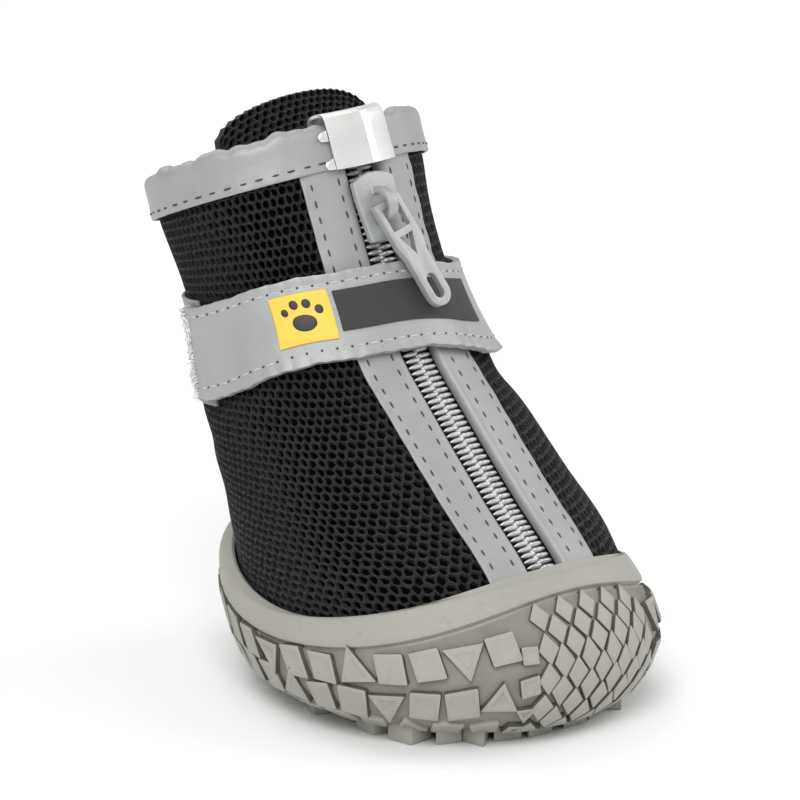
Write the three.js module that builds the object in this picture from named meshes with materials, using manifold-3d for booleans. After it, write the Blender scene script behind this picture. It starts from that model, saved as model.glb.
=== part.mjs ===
// A dog boot: a moulded rubber cup sole with block tread, a hollow mesh upper with a zip down its front,
// reflective collar binding, a gusset behind the zip, and a hook-and-loop ankle strap.
// Millimetres, +Z up, toe at -Y, the boot's right side at -X, origin on the tread under the middle of the foot.

import * as THREE from 'three';
import { mergeVertices } from 'three/addons/utils/BufferGeometryUtils.js';
import Module from 'manifold-3d';

const wasm = await Module();
wasm.setup();

// Driving dimensions.
const GAP = 0.3;
const UPPER_WALL = 1.5;
const THROAT_HALF = 3.5;
const THROAT_FOOT = 0.17;
const TAPE_HALF = 6.2;
const TAPE_THICK = 0.6;
const TAPE_TOP = 0.895;
const CHAIN_HALF = 2.6;
const CHAIN_TOP = 0.93;
const GUSSET_HALF = 15;
const GUSSET_THICK = 1.8;
const GUSSET_FOOT = 0.3;
const GUSSET_PEAK = 1.105;
const GUSSET_SHOULDER = 0.98;
const GUSSET_BEND = 19.5;
const GUSSET_LEAN = 5;
const INSOLE_THICK = 3;
const CUP_FLOOR = 4.7;
const CUP_CLEAR = 0.4;
const LUG_HEIGHT = 2;
const WALL_LUG_HEIGHT = 1.3;
const RIM_BAND_PROUD = 0.6;
const BINDING_THICK = 0.6;
const BINDING_OUTSIDE = 0.09;
const BINDING_INSIDE = 0.075;
const CLIP_THICK = 0.6;
const CLIP_HALF = 5.6;
const CLIP_DROP = 0.094;
const STRAP_LIFT = 0.9;
const STRAP_THICK = 1.3;
const STRAP_LEVELS = { low: 0.566, high: 0.768, sag: 0.058 };
const SLIDER_LEVEL = 7.6 / 9;
const PIVOT_HEIGHT = 3.3;
const PULL_DROOP = 29;
const PULL_LEAN = 15;

// Facets round the upper and the cup, and up the upper, shared so that their faces stay parallel.
const AROUND = 40;
const UPPER_ROWS = 12;

const rad = THREE.MathUtils.degToRad;
const TURN = 2 * Math.PI;

// Sections of the upper, from its lower edge to the collar. Each is an oval in the plane through a point
// of the front line and a point of the back line. egg widens the oval towards the toe.
const UPPER_SECTIONS = [
  { frontY: -29.0, frontZ: 5, backY: 28.8, backZ: 5, half: 22.2, egg: 0.13 },
  { frontY: -32.0, frontZ: 15, backY: 34.0, backZ: 14, half: 26.2, egg: 0.12 },
  { frontY: -26.5, frontZ: 24, backY: 35.6, backZ: 22, half: 26.2, egg: 0.1 },
  { frontY: -16.0, frontZ: 33, backY: 37.8, backZ: 29, half: 25.2, egg: 0.08 },
  { frontY: -5.0, frontZ: 43, backY: 40.0, backZ: 36, half: 23.4, egg: 0.06 },
  { frontY: 3.0, frontZ: 51, backY: 42.0, backZ: 43, half: 21.4, egg: 0.04 },
  { frontY: 7.5, frontZ: 58, backY: 44.5, backZ: 51, half: 20.2, egg: 0.02 },
  { frontY: 10.8, frontZ: 64, backY: 47.0, backZ: 57, half: 20.4, egg: 0 },
  { frontY: 16.0, frontZ: 76, backY: 49.5, backZ: 62, half: 21.4, egg: 0 },
  { frontY: 19.0, frontZ: 83, backY: 51.5, backZ: 68, half: 22, egg: 0 },
];

// Sections of the outsole's base, from the edge of its flat bottom to the rim. drop lowers the flanks.
const SOLE_SECTIONS = [
  { frontY: -20.0, frontZ: 2, backY: 20.0, backZ: 2, half: 15, egg: 0.13, drop: 0 },
  { frontY: -27.5, frontZ: 2.4, backY: 27.2, backZ: 2.3, half: 21, egg: 0.13, drop: 0 },
  { frontY: -32.8, frontZ: 4.8, backY: 32.4, backZ: 4.6, half: 26, egg: 0.13, drop: 0.2 },
  { frontY: -35.3, frontZ: 9.7, backY: 34.6, backZ: 8.8, half: 28.2, egg: 0.13, drop: 2.2 },
  { frontY: -35.6, frontZ: 14.2, backY: 36.2, backZ: 13, half: 28.8, egg: 0.13, drop: 4 },
  { frontY: -32.8, frontZ: 19.6, backY: 37.1, backZ: 17, half: 28.6, egg: 0.12, drop: 5.7 },
  { frontY: -28.4, frontZ: 24.6, backY: 37.2, backZ: 21, half: 27.7, egg: 0.11, drop: 6.3 },
];
const RIM_BAND_FOOT = 5 / 6;

// A smooth form through a table of sections: level runs 0 to 1 up the table, angle runs from the toe
// towards +X, and out is the distance outside the form along its normal.
function makeForm(sections) {
  const column = (read) => new THREE.CatmullRomCurve3(sections.map(read));
  const frontLine = column((row) => new THREE.Vector3(0, row.frontY, row.frontZ));
  const backLine = column((row) => new THREE.Vector3(0, row.backY, row.backZ));
  const girth = column((row) => new THREE.Vector3(row.half, row.egg * 10, row.drop ?? 0));

  const sample = (curve, level) => {
    const end = curve.getPoint(Math.min(level, 1));
    if (level <= 1) return end;
    const before = curve.getPoint(0.99);
    return end.clone().addScaledVector(end.clone().sub(before), (level - 1) / 0.01);
  };
  const surface = (level, angle) => {
    const front = sample(frontLine, level);
    const back = sample(backLine, level);
    const width = sample(girth, level);
    const point = front.clone().add(back).multiplyScalar(0.5);
    point.addScaledVector(front.sub(back), Math.cos(angle) / 2);
    point.x = width.x * Math.sin(angle) * (1 + (width.y / 10) * Math.cos(angle));
    point.z -= width.z * Math.sin(angle) ** 2;
    return point;
  };
  const normal = (level, angle) => {
    const step = 0.004;
    const low = Math.max(level - step, 0);
    const rise = surface(low + 2 * step, angle).sub(surface(low, angle));
    const round = surface(level, angle + step).sub(surface(level, angle - step));
    return round.cross(rise).normalize();
  };
  const place = (level, angle, out = 0) => surface(level, angle).addScaledVector(normal(level, angle), out);
  const halfWidth = (level) => sample(girth, level).x;
  return { place, normal, halfWidth };
}

const upperForm = makeForm(UPPER_SECTIONS);
const soleForm = makeForm(SOLE_SECTIONS);

// The level at which the upper's form, pushed out by out, passes a height on one side of the boot.
function levelAtHeight(height, angle, out) {
  let low = 0;
  let high = 0.6;
  for (let step = 0; step < 24; step += 1) {
    const middle = (low + high) / 2;
    if (upperForm.place(middle, angle, out).z < height) low = middle;
    else high = middle;
  }
  return low;
}

// The angle round the upper at which its surface is a distance x to the side of the front line.
const angleAt = (level, x) => Math.asin(x / upperForm.halfWidth(level));

function meshGeometry(points, triangles) {
  const geometry = new THREE.BufferGeometry();
  geometry.setAttribute('position', new THREE.Float32BufferAttribute(points.flatMap((p) => p.toArray()), 3));
  geometry.setIndex(triangles.flat());
  return geometry;
}

// A closed solid skinned over rings of points. Closed rings meet end to end; open ones are capped.
function skin(rings, { loop = false, poles = null } = {}) {
  const size = rings[0].length;
  const points = rings.flat();
  const triangles = [];
  const last = loop ? rings.length : rings.length - 1;
  for (let i = 0; i < last; i += 1) {
    const next = ((i + 1) % rings.length) * size;
    for (let j = 0; j < size; j += 1) {
      const right = (j + 1) % size;
      triangles.push([i * size + j, next + j, next + right]);
      triangles.push([i * size + j, next + right, i * size + right]);
    }
  }
  if (poles) {
    points.push(poles.first, poles.last);
    const start = (rings.length - 1) * size;
    for (let j = 0; j < size; j += 1) {
      const right = (j + 1) % size;
      triangles.push([points.length - 2, j, right]);
      triangles.push([points.length - 1, start + right, start + j]);
    }
  }
  return meshGeometry(points, triangles);
}

// A sheet with thickness: place(u, v, face) gives its outer face at face 1 and its inner face at face 0.
// Each ring of the skin goes up the outer face and down the inner one, so that the ends close flat.
function sheet(columns, rows, place) {
  const ring = (u) => {
    const up = Array.from({ length: rows + 1 }, (_, j) => place(u, j / rows, 1));
    const down = Array.from({ length: rows + 1 }, (_, j) => place(u, 1 - j / rows, 0));
    return [...up, ...down];
  };
  const rings = Array.from({ length: columns + 1 }, (_, i) => ring(i / columns));
  const geometry = skin(rings);
  const index = Array.from(geometry.index.array);
  const size = rings[0].length;
  const end = columns * size;
  for (let j = 0; j < rows; j += 1) {
    const a = [j, j + 1, size - 2 - j, size - 1 - j];
    index.push(a[0], a[1], a[2], a[0], a[2], a[3]);
    const b = a.map((k) => end + k);
    index.push(b[0], b[2], b[1], b[0], b[3], b[2]);
  }
  geometry.setIndex(index);
  return geometry;
}

// A merged copy of a closed geometry with its faces pointing out.
function facingOut(geometry) {
  const bare = geometry.clone();
  bare.deleteAttribute('normal');
  bare.deleteAttribute('uv');
  const merged = mergeVertices(bare, 1e-4);
  const index = merged.index.array;
  const corner = (k) => new THREE.Vector3().fromBufferAttribute(merged.attributes.position, index[k]);
  let volume = 0;
  for (let i = 0; i < index.length; i += 3) volume += corner(i).dot(corner(i + 1).cross(corner(i + 2)));
  if (volume < 0) merged.setIndex(Array.from(index).reverse());
  return merged;
}

function toSolid(geometry) {
  const merged = facingOut(geometry);
  const vertProperties = new Float32Array(merged.attributes.position.array);
  const triVerts = new Uint32Array(merged.index.array);
  return new wasm.Manifold(new wasm.Mesh({ numProp: 3, vertProperties, triVerts }));
}

function toGeometry(solid) {
  const { numProp, vertProperties, triVerts } = solid.getMesh();
  const geometry = new THREE.BufferGeometry();
  const points = new Float32Array((vertProperties.length / numProp) * 3);
  for (let i = 0; i < points.length; i += 1) {
    points[i] = vertProperties[Math.floor(i / 3) * numProp + (i % 3)];
  }
  geometry.setAttribute('position', new THREE.BufferAttribute(points, 3));
  geometry.setIndex(new THREE.BufferAttribute(new Uint32Array(triVerts), 1));
  return geometry;
}

const join = (geometries) => geometries.map(toSolid).reduce((whole, piece) => whole.add(piece));

const polygon = (points) => new THREE.Shape(points.map(([x, y]) => new THREE.Vector2(x, y)));
const regular = (sides, radius, turn = 0) => polygon(
  Array.from({ length: sides }, (_, i) => {
    const angle = rad(turn) + (i * TURN) / sides;
    return [radius * Math.cos(angle), radius * Math.sin(angle)];
  }),
);
const prism = (shape, depth, curveSegments = 5) => (
  new THREE.ExtrudeGeometry(shape, { depth, bevelEnabled: false, curveSegments })
);

// ---------------------------------------------------------------- outsole

// The cup under and round the upper: flat bottom, curved walls, a proud smooth band along the rim.
function cup() {
  const ring = (angle) => {
    const outer = [0, 1, 2, 3, 4, 5, 6].map((i) => (i / 6) * RIM_BAND_FOOT);
    const points = outer.map((level) => soleForm.place(level, angle));
    points.push(soleForm.place(RIM_BAND_FOOT, angle, RIM_BAND_PROUD));
    points.push(soleForm.place((RIM_BAND_FOOT + 1) / 2, angle, RIM_BAND_PROUD));
    points.push(soleForm.place(0.985, angle, RIM_BAND_PROUD * 0.6));
    const rim = soleForm.place(1, angle);
    points.push(rim);
    const top = levelAtHeight(rim.z + 0.1, angle, CUP_CLEAR);
    for (const level of [top, 2 / UPPER_ROWS, 1 / UPPER_ROWS, 0]) {
      points.push(upperForm.place(level, angle, CUP_CLEAR));
    }
    points.at(-1).z = CUP_FLOOR;
    return points;
  };
  const columns = Array.from({ length: AROUND }, (_, i) => ring((i / AROUND) * TURN));
  const rings = columns[0].map((_, level) => columns.map((points) => points[level]));
  const poles = {
    first: new THREE.Vector3(0, 0, LUG_HEIGHT),
    last: new THREE.Vector3(0, 0, CUP_FLOOR),
  };
  return skin(rings, { poles });
}

// A tread block of the bottom, turned about its middle, from the ground up into the base.
function groundBlock(x, y, shape, turn = 0) {
  return prism(shape, LUG_HEIGHT + 1.2).rotateZ(rad(turn)).translate(x, y, 0);
}

// A tread block on the curved wall, square to the surface there.
function wallBlock(level, angle, shape, turn = 0, height = WALL_LUG_HEIGHT) {
  const out = soleForm.normal(level, angle);
  const along = new THREE.Vector3(0, 0, 1).cross(out).normalize();
  const up = out.clone().cross(along);
  const depth = 0.8;
  const place = new THREE.Matrix4().makeBasis(along, up, out);
  place.setPosition(soleForm.place(level, angle, -depth));
  return prism(shape, depth + height).rotateZ(rad(turn)).applyMatrix4(place);
}

const square = (size) => regular(4, size * Math.SQRT1_2, 45);
const triangle = (radius) => regular(3, radius, 90);
const diamond = (width, height) => polygon([[width / 2, 0], [0, height / 2], [-width / 2, 0], [0, -height / 2]]);

// Blocks of the bottom on one side, repeated in mirror image on the other.
const BOTTOM_SQUARES = [
  { x: 19.3, y: -17.6, size: 4.8, turn: -8 },
  { x: 20.0, y: -11.0, size: 4.8, turn: 6 },
  { x: 18.2, y: -5.0, size: 4.6, turn: 22 },
  { x: 14.4, y: -0.4, size: 3.8, turn: 35 },
  { x: 20.2, y: 1.2, size: 4.6, turn: 24 },
  { x: 17.8, y: 7.2, size: 4.6, turn: 28 },
  { x: 16.4, y: 13.6, size: 3.6, turn: 30 },
  { x: 13.6, y: 18.2, size: 3.2, turn: 22 },
  { x: 11.0, y: 22.4, size: 2.9, turn: 10 },
];
const BOTTOM_TRIANGLES = [
  { x: 3.4, y: -27.4, radius: 2.7, turn: 0 },
  { x: 2.6, y: -23.2, radius: 2.4, turn: 60 },
  { x: 8.2, y: -26.2, radius: 2.6, turn: 20 },
  { x: 12.6, y: -25.2, radius: 2.6, turn: -40 },
  { x: 16.0, y: -22.0, radius: 2.4, turn: 20 },
  { x: 5.3, y: 5.4, radius: 3.8, turn: 15 },
  { x: 2.6, y: 10.6, radius: 2.9, turn: 0 },
  { x: 10.4, y: 6.2, radius: 2.7, turn: 50 },
  { x: 9.8, y: 11.4, radius: 2.9, turn: 25 },
  { x: 13.4, y: 3.9, radius: 2.0, turn: 0 },
  { x: 9.4, y: 17.0, radius: 2.6, turn: 30 },
];
// Ribbed pads of the middle panel; the ring pad takes the place of two of them on the left side.
const RIBBED_PADS = [
  [[-2.9, -22.3], [-5.6, -23.4], [-14.6, -19.6], [-15.8, -16.8], [-12.4, -14.2], [-3.9, -17.0]],
  [[-3.4, -12.6], [-4.4, -9.0], [-11.6, -6.8], [-14.8, -9.4], [-13.8, -12.6]],
  [[-3.2, -7.6], [-2.9, -4.2], [-9.4, -0.2], [-12.2, -1.4], [-11.4, -5.0]],
  [[4.6, -12.4], [14.0, -12.4], [15.6, -9.0], [12.2, -6.9], [4.6, -10.4]],
  [[3.0, -8.6], [3.2, -5.8], [9.4, -0.4], [12.2, -1.6], [11.4, -5.2]],
];
const RING_PAD = [[3.7, -14.1], [3.7, -20.6], [8.0, -23.2], [12.4, -22.8], [16.0, -19.4], [16.4, -14.1]];
const CENTRE_PAD = [[0, -1.5], [6.0, 0.2], [0, 2.1], [-6.0, 0.2]];
const STUD_PLACES = [-18.6, -13.6, -8.7, -3.9];

function bottomTread() {
  const blocks = [];
  for (const side of [1, -1]) {
    for (const { x, y, size, turn } of BOTTOM_SQUARES) {
      blocks.push(groundBlock(side * x, y, square(size), side * turn));
    }
    for (const { x, y, radius, turn } of BOTTOM_TRIANGLES) {
      blocks.push(groundBlock(side * x, y, triangle(radius), side * turn));
    }
  }
  for (const outline of [...RIBBED_PADS, RING_PAD, CENTRE_PAD]) blocks.push(groundBlock(0, 0, polygon(outline)));
  for (const y of STUD_PLACES) blocks.push(groundBlock(0, y, regular(6, 2.35, 30)));
  return blocks;
}

// Scales in staggered rows across the heel and up over the toe.
function heelScales() {
  const blocks = [];
  for (let row = 0; row < 6; row += 1) {
    const columns = row % 2 ? 2 : 3;
    for (let column = 0; column < columns; column += 1) {
      const x = (column - (columns - 1) / 2) * 4.3;
      blocks.push(groundBlock(x, 16.6 + row * 2.15, diamond(3.7, 3.7)));
    }
  }
  return blocks;
}

function toeScales() {
  const blocks = [];
  const rows = 8;
  for (let row = 0; row < rows; row += 1) {
    const level = 0.27 + row * 0.071;
    const columns = row % 2 ? 4 : 5;
    for (let column = 0; column < columns; column += 1) {
      const x = (column - (columns - 1) / 2) * 4.6;
      const angle = Math.asin(x / soleForm.halfWidth(level));
      blocks.push(wallBlock(level, angle, diamond(4.1, 5)));
    }
  }
  return blocks;
}

// Blocks round the flanks in three staggered rows, between the scales of the toe and round the heel.
const FLANK_ROWS = [
  { level: 0.7, from: 31, step: 11, count: 14, size: 4.5, spin: 10, triangles: 1 },
  { level: 0.44, from: 36, step: 11, count: 13, size: 4.6, spin: -12, triangles: 0 },
  { level: 0.26, from: 41, step: 12.6, count: 11, size: 4.3, spin: 14, triangles: 2 },
];

function flankTread() {
  const blocks = [];
  for (const { level, from, step, count, size, spin, triangles } of FLANK_ROWS) {
    for (const side of [1, -1]) {
      for (let i = 0; i < count; i += 1) {
        const angle = side * rad(from + i * step);
        const turn = side * (i % 2 ? spin : -spin);
        const wedge = i % 3 === triangles;
        const shape = wedge ? triangle(size * 0.66) : square(size);
        blocks.push(wallBlock(level, angle, shape, wedge && i % 2 ? 180 : turn));
      }
    }
  }
  return blocks;
}

function outsole() {
  const pieces = [cup(), ...bottomTread(), ...heelScales(), ...toeScales(), ...flankTread()];
  return toGeometry(join(pieces));
}

// ---------------------------------------------------------------- upper and what lines it

// The hollow body of the boot, open at the collar, underneath, and down the front where the zip closes it.
function upper() {
  const face = (out, up) => Array.from({ length: UPPER_ROWS + 1 }, (_, j) => {
    const level = up ? j / UPPER_ROWS : 1 - j / UPPER_ROWS;
    return Array.from({ length: AROUND }, (_, i) => upperForm.place(level, (i / AROUND) * TURN, out));
  });
  const body = toSolid(skin([...face(0, true), ...face(-UPPER_WALL, false)], { loop: true }));
  const throat = sheet(1, 10, (u, v, side) => {
    const level = THROAT_FOOT + v * (1.06 - THROAT_FOOT);
    const middle = upperForm.place(level, 0, side ? 3 : -UPPER_WALL - 2);
    middle.x = (u - 0.5) * 2 * THROAT_HALF;
    return middle;
  });
  return toGeometry(body.subtract(toSolid(throat)));
}

// A pad on the floor of the cup, inside the upper's lower edge.
function insole() {
  const clear = -UPPER_WALL - 1.5 * GAP;
  const outline = (height) => Array.from({ length: AROUND }, (_, i) => {
    const angle = (i / AROUND) * TURN;
    const point = upperForm.place(levelAtHeight(height, angle, clear), angle, clear);
    point.z = height;
    return point;
  });
  const floor = CUP_FLOOR + GAP;
  const top = floor + INSOLE_THICK;
  const poles = {
    first: new THREE.Vector3(0, 0, floor),
    last: new THREE.Vector3(0, 0, top),
  };
  return skin([outline(floor), outline((floor + top) / 2), outline(top)], { poles });
}

// The gusset behind the zip. It leans back at the top and ends in a dome above the collar.
function tongue() {
  return sheet(8, 13, (u, v, side) => {
    const level = GUSSET_PEAK - (GUSSET_PEAK - GUSSET_FOOT) * (1 - v) ** 1.5;
    const lean = GUSSET_LEAN * Math.max(0, (level - 0.62) / 0.38) ** 1.4;
    const near = UPPER_WALL + TAPE_THICK + 3.2 * GAP;
    const dome = Math.max(0, (level - GUSSET_SHOULDER) / (GUSSET_PEAK - GUSSET_SHOULDER));
    const widen = 0.8 + 0.2 * Math.min(1, (level - GUSSET_FOOT) / 0.3);
    const half = GUSSET_HALF * widen * Math.sqrt(Math.max(0.03, 1 - dome ** 2));
    const point = upperForm.place(level, 0, -near - lean - (side ? 0 : GUSSET_THICK));
    point.x = half * (2 * u - 1);
    point.y += point.x ** 2 / (2 * GUSSET_BEND);
    return point;
  });
}

// ---------------------------------------------------------------- collar and zip

// The collar binding, folded over the top edge, from one side of the throat round to the other.
function collarBinding() {
  const columns = 32;
  const inner = -UPPER_WALL - GAP;
  const gapOver = 0.006;
  const fold = [
    [1 - BINDING_OUTSIDE, GAP], [1 - BINDING_OUTSIDE, GAP + BINDING_THICK],
    [1 - BINDING_OUTSIDE / 2, GAP + BINDING_THICK],
    [1.004, GAP + BINDING_THICK], [1 + gapOver + 0.012, 0], [1 + gapOver + 0.012, -UPPER_WALL],
    [1.004, inner - BINDING_THICK], [1 - BINDING_INSIDE, inner - BINDING_THICK],
    [1 - BINDING_INSIDE, inner], [1 + gapOver, inner], [1 + gapOver, GAP],
    [1 - BINDING_OUTSIDE / 2, GAP],
  ];
  return band(columns, fold, (level) => angleAt(Math.min(level, 1), THROAT_HALF + 0.4));
}

// A folded band: a closed outline of (level, out) points carried round the upper between two angles.
function band(columns, fold, startAngle) {
  const rings = Array.from({ length: columns + 1 }, (_, i) => fold.map(([level, out]) => {
    const start = startAngle(level);
    return upperForm.place(level, start + (TURN - 2 * start) * (i / columns), out);
  }));
  return capped(rings);
}

// A skin over open rings with flat ends.
function capped(rings) {
  const geometry = skin(rings);
  const index = Array.from(geometry.index.array);
  const size = rings[0].length;
  const flatten = (ring) => {
    const origin = ring[0];
    const normal = new THREE.Vector3();
    ring.forEach((p, i) => {
      const a = p.clone().sub(origin);
      const b = ring[(i + 1) % ring.length].clone().sub(origin);
      normal.add(a.cross(b));
    });
    normal.normalize();
    const along = ring[1].clone().sub(origin).normalize();
    const across = normal.clone().cross(along).normalize();
    return ring.map((p) => new THREE.Vector2(p.clone().sub(origin).dot(along), p.clone().sub(origin).dot(across)));
  };
  const start = (rings.length - 1) * size;
  for (const [a, b, c] of THREE.ShapeUtils.triangulateShape(flatten(rings[0]), [])) index.push(a, b, c);
  for (const [a, b, c] of THREE.ShapeUtils.triangulateShape(flatten(rings.at(-1)), [])) {
    index.push(start + a, start + c, start + b);
  }
  geometry.setIndex(index);
  return geometry;
}

// A strip down the front line, as wide as twice half, between two distances from the upper's surface.
function frontStrip(half, foot, head, inner, outer, columns, rows) {
  return sheet(columns, rows, (u, v, side) => {
    const level = foot + v * (head - foot);
    return upperForm.place(level, angleAt(level, half * (u - 0.5) * 2), side ? outer : inner);
  });
}

const zipTape = () => {
  const face = -UPPER_WALL - 1.5 * GAP;
  return frontStrip(TAPE_HALF, THROAT_FOOT + 0.02, TAPE_TOP, face - TAPE_THICK, face, 2, 9);
};
const zipChain = () => frontStrip(CHAIN_HALF, THROAT_FOOT + 0.03, CHAIN_TOP, -UPPER_WALL, 0, 2, 13);

// The metal clip folded over the collar at the head of the zip, bent into two flat faces.
function topClip() {
  const facet = CLIP_HALF ** 2 / (4 * upperForm.halfWidth(1));
  const outer = GAP + BINDING_THICK + GAP + facet;
  const inner = -UPPER_WALL - GAP - BINDING_THICK - GAP;
  const fold = [
    [1 - CLIP_DROP, outer], [1 - CLIP_DROP, outer + CLIP_THICK],
    [1.02, outer + CLIP_THICK], [1.033, outer - 0.1], [1.033, inner + 0.1],
    [1.02, inner - CLIP_THICK], [1 - BINDING_INSIDE, inner - CLIP_THICK],
    [1 - BINDING_INSIDE, inner], [1.024, inner], [1.024, outer],
  ];
  const rings = [-CLIP_HALF, 0, CLIP_HALF].map((x) => fold.map(([level, out]) => (
    upperForm.place(level, angleAt(Math.min(level, 1), x), out)
  )));
  return capped(rings);
}

// ---------------------------------------------------------------- strap

// The strap's level sinks from the right of its front round both sides to the heel.
function sagged(level, angle) {
  const away = Math.abs(THREE.MathUtils.euclideanModulo(angle + rad(25) + Math.PI, TURN) - Math.PI);
  return level - STRAP_LEVELS.sag * THREE.MathUtils.smoothstep(away, rad(14), rad(78));
}

// The strap runs from its cut end on the right, over the front and round the back to its rounded end.
function strap() {
  const start = rad(-104);
  const end = rad(216);
  const columns = 44;
  return sheet(columns, 2, (u, v, side) => {
    const angle = start + (end - start) * u;
    const nearEnd = Math.max(0, (u - 0.955) / 0.045);
    const half = 0.5 * Math.sqrt(Math.max(0.04, 1 - nearEnd ** 2));
    const middle = (STRAP_LEVELS.low + STRAP_LEVELS.high) / 2;
    const level = middle + (STRAP_LEVELS.high - STRAP_LEVELS.low) * (v - 0.5) * 2 * half;
    const out = STRAP_LIFT + 0.4 * patchShare(angle) + (side ? STRAP_THICK : 0);
    return upperForm.place(sagged(level, angle), angle, out);
  });
}

// How far the strap is lifted by the patch under its two ends.
function patchShare(angle) {
  const away = Math.abs(Math.abs(THREE.MathUtils.euclideanModulo(angle, TURN) - rad(236)));
  return THREE.MathUtils.smoothstep(rad(40) - away, 0, rad(12));
}

// The patch sewn to the upper at the right of the heel, which both ends of the strap fasten to.
function loopPatch() {
  return sheet(7, 2, (u, v, side) => {
    const angle = rad(209 + 53 * u);
    const margin = 0.012;
    const low = STRAP_LEVELS.low - margin;
    const level = low + (STRAP_LEVELS.high + margin - low) * v;
    return upperForm.place(sagged(level, angle), angle, side ? GAP + 0.65 : GAP);
  });
}

// ---------------------------------------------------------------- slider and pull

// The frame at a level of the front line: across the boot, up the zip, and away from it.
function frontFrame(level) {
  const out = upperForm.normal(level, 0);
  const across = new THREE.Vector3(1, 0, 0);
  const up = out.clone().cross(across).normalize();
  const frame = new THREE.Matrix4().makeBasis(across, up, out);
  return frame.setPosition(upperForm.place(level, 0));
}

const SLIDER = { half: 3.9, waist: 3.1, length: 10.4, foot: 0.75, top: 1.95 };
const BRIDGE = { width: 1.6, length: 5.8, thick: 1.0, rise: 3.6 };
const PIN_HALF = 0.5;

// The slider's plate, wide at its head, with the arched bridge that holds the pull.
function slider() {
  const { half, waist, length, foot, top } = SLIDER;
  const plate = new THREE.Shape();
  plate.moveTo(-waist, -length / 2);
  plate.lineTo(waist, -length / 2);
  plate.lineTo(half, length * 0.15);
  plate.lineTo(half, length * 0.4);
  plate.quadraticCurveTo(0, length * 0.62, -half, length * 0.4);
  plate.lineTo(-half, length * 0.15);
  const arch = new THREE.Shape();
  const span = BRIDGE.length / 2;
  arch.moveTo(-span, 0);
  arch.absellipse(0, 0, span, BRIDGE.rise, Math.PI, 0, true);
  arch.lineTo(span - BRIDGE.thick, 0);
  arch.absellipse(0, 0, span - BRIDGE.thick, BRIDGE.rise - BRIDGE.thick, 0, Math.PI, false);
  const bridge = prism(arch, BRIDGE.width, 10);
  bridge.translate(0, 0, -BRIDGE.width / 2).rotateX(Math.PI / 2).rotateZ(Math.PI / 2);
  bridge.translate(0, 0, top - 0.1);
  return toGeometry(join([prism(plate, top - foot).translate(0, 0, foot), bridge]));
}

const PULL = { length: 17.4, top: 2.7, waist: 2.1, tip: 2.1, thick: 1.1 };

// The pull tab, hanging along -Z from the pin that passes under the bridge.
function pullTab() {
  const { length, top, waist, tip, thick } = PULL;
  const outline = new THREE.Shape();
  outline.moveTo(-top, PIN_HALF);
  outline.lineTo(-top, -6.5);
  outline.lineTo(-waist, -9);
  outline.lineTo(-tip, tip - length);
  outline.absarc(0, tip - length, tip, Math.PI, TURN, false);
  outline.lineTo(waist, -9);
  outline.lineTo(top, -6.5);
  outline.lineTo(top, PIN_HALF);
  const eye = polygon([[-1.8, -PIN_HALF], [-1.8, -4.3], [1.8, -4.3], [1.8, -PIN_HALF]]);
  const cut = polygon([[-1.4, -5.4], [0, -8.8], [1.4, -5.4]]);
  const slot = new THREE.Shape();
  slot.absarc(0, -13.1, 0.95, 0, Math.PI, false);
  slot.absarc(0, tip - length, 0.95, Math.PI, TURN, false);
  outline.holes.push(eye, cut, slot);
  return prism(outline, thick, 8).translate(0, 0, -thick / 2).rotateX(Math.PI / 2);
}

// ---------------------------------------------------------------- assembly

const COLOURS = {
  rubber: { color: 0x9b998e, roughness: 0.75, metalness: 0 },
  mesh: { color: 0x17171a, roughness: 0.9, metalness: 0 },
  foam: { color: 0x2a2a2c, roughness: 0.95, metalness: 0 },
  reflective: { color: 0x969996, roughness: 0.5, metalness: 0.1 },
  tape: { color: 0x141416, roughness: 0.85, metalness: 0 },
  coil: { color: 0xb4b6b6, roughness: 0.35, metalness: 0.6 },
  steel: { color: 0xe4e6e6, roughness: 0.2, metalness: 0.95 },
  painted: { color: 0xaaacac, roughness: 0.4, metalness: 0.5 },
  pile: { color: 0x8f918e, roughness: 0.95, metalness: 0 },
};

function piece(name, geometry, finish) {
  const mesh = new THREE.Mesh(facingOut(geometry), new THREE.MeshStandardMaterial(COLOURS[finish]));
  mesh.name = name;
  return mesh;
}

const group = new THREE.Group();
group.add(piece('outsole', outsole(), 'rubber'));
group.add(piece('insole', insole(), 'foam'));
group.add(piece('upper', upper(), 'mesh'));
group.add(piece('tongue', tongue(), 'mesh'));
group.add(piece('collar_binding', collarBinding(), 'reflective'));
group.add(piece('zip_tape', zipTape(), 'tape'));
group.add(piece('zip_chain', zipChain(), 'coil'));
group.add(piece('top_clip', topClip(), 'steel'));
group.add(piece('strap', strap(), 'reflective'));
group.add(piece('loop_patch', loopPatch(), 'pile'));

const sliderMesh = piece('slider', slider(), 'painted');
sliderMesh.applyMatrix4(frontFrame(SLIDER_LEVEL));
group.add(sliderMesh);

const pivot = new THREE.Group();
pivot.position.copy(upperForm.place(SLIDER_LEVEL, 0, PIVOT_HEIGHT));
pivot.rotation.x = -rad(PULL_DROOP);
const pull = piece('pull_tab', pullTab(), 'painted');
pull.rotation.y = -rad(PULL_LEAN);
pivot.add(pull);
group.add(pivot);

export default group;
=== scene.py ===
import math
import random

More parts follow.
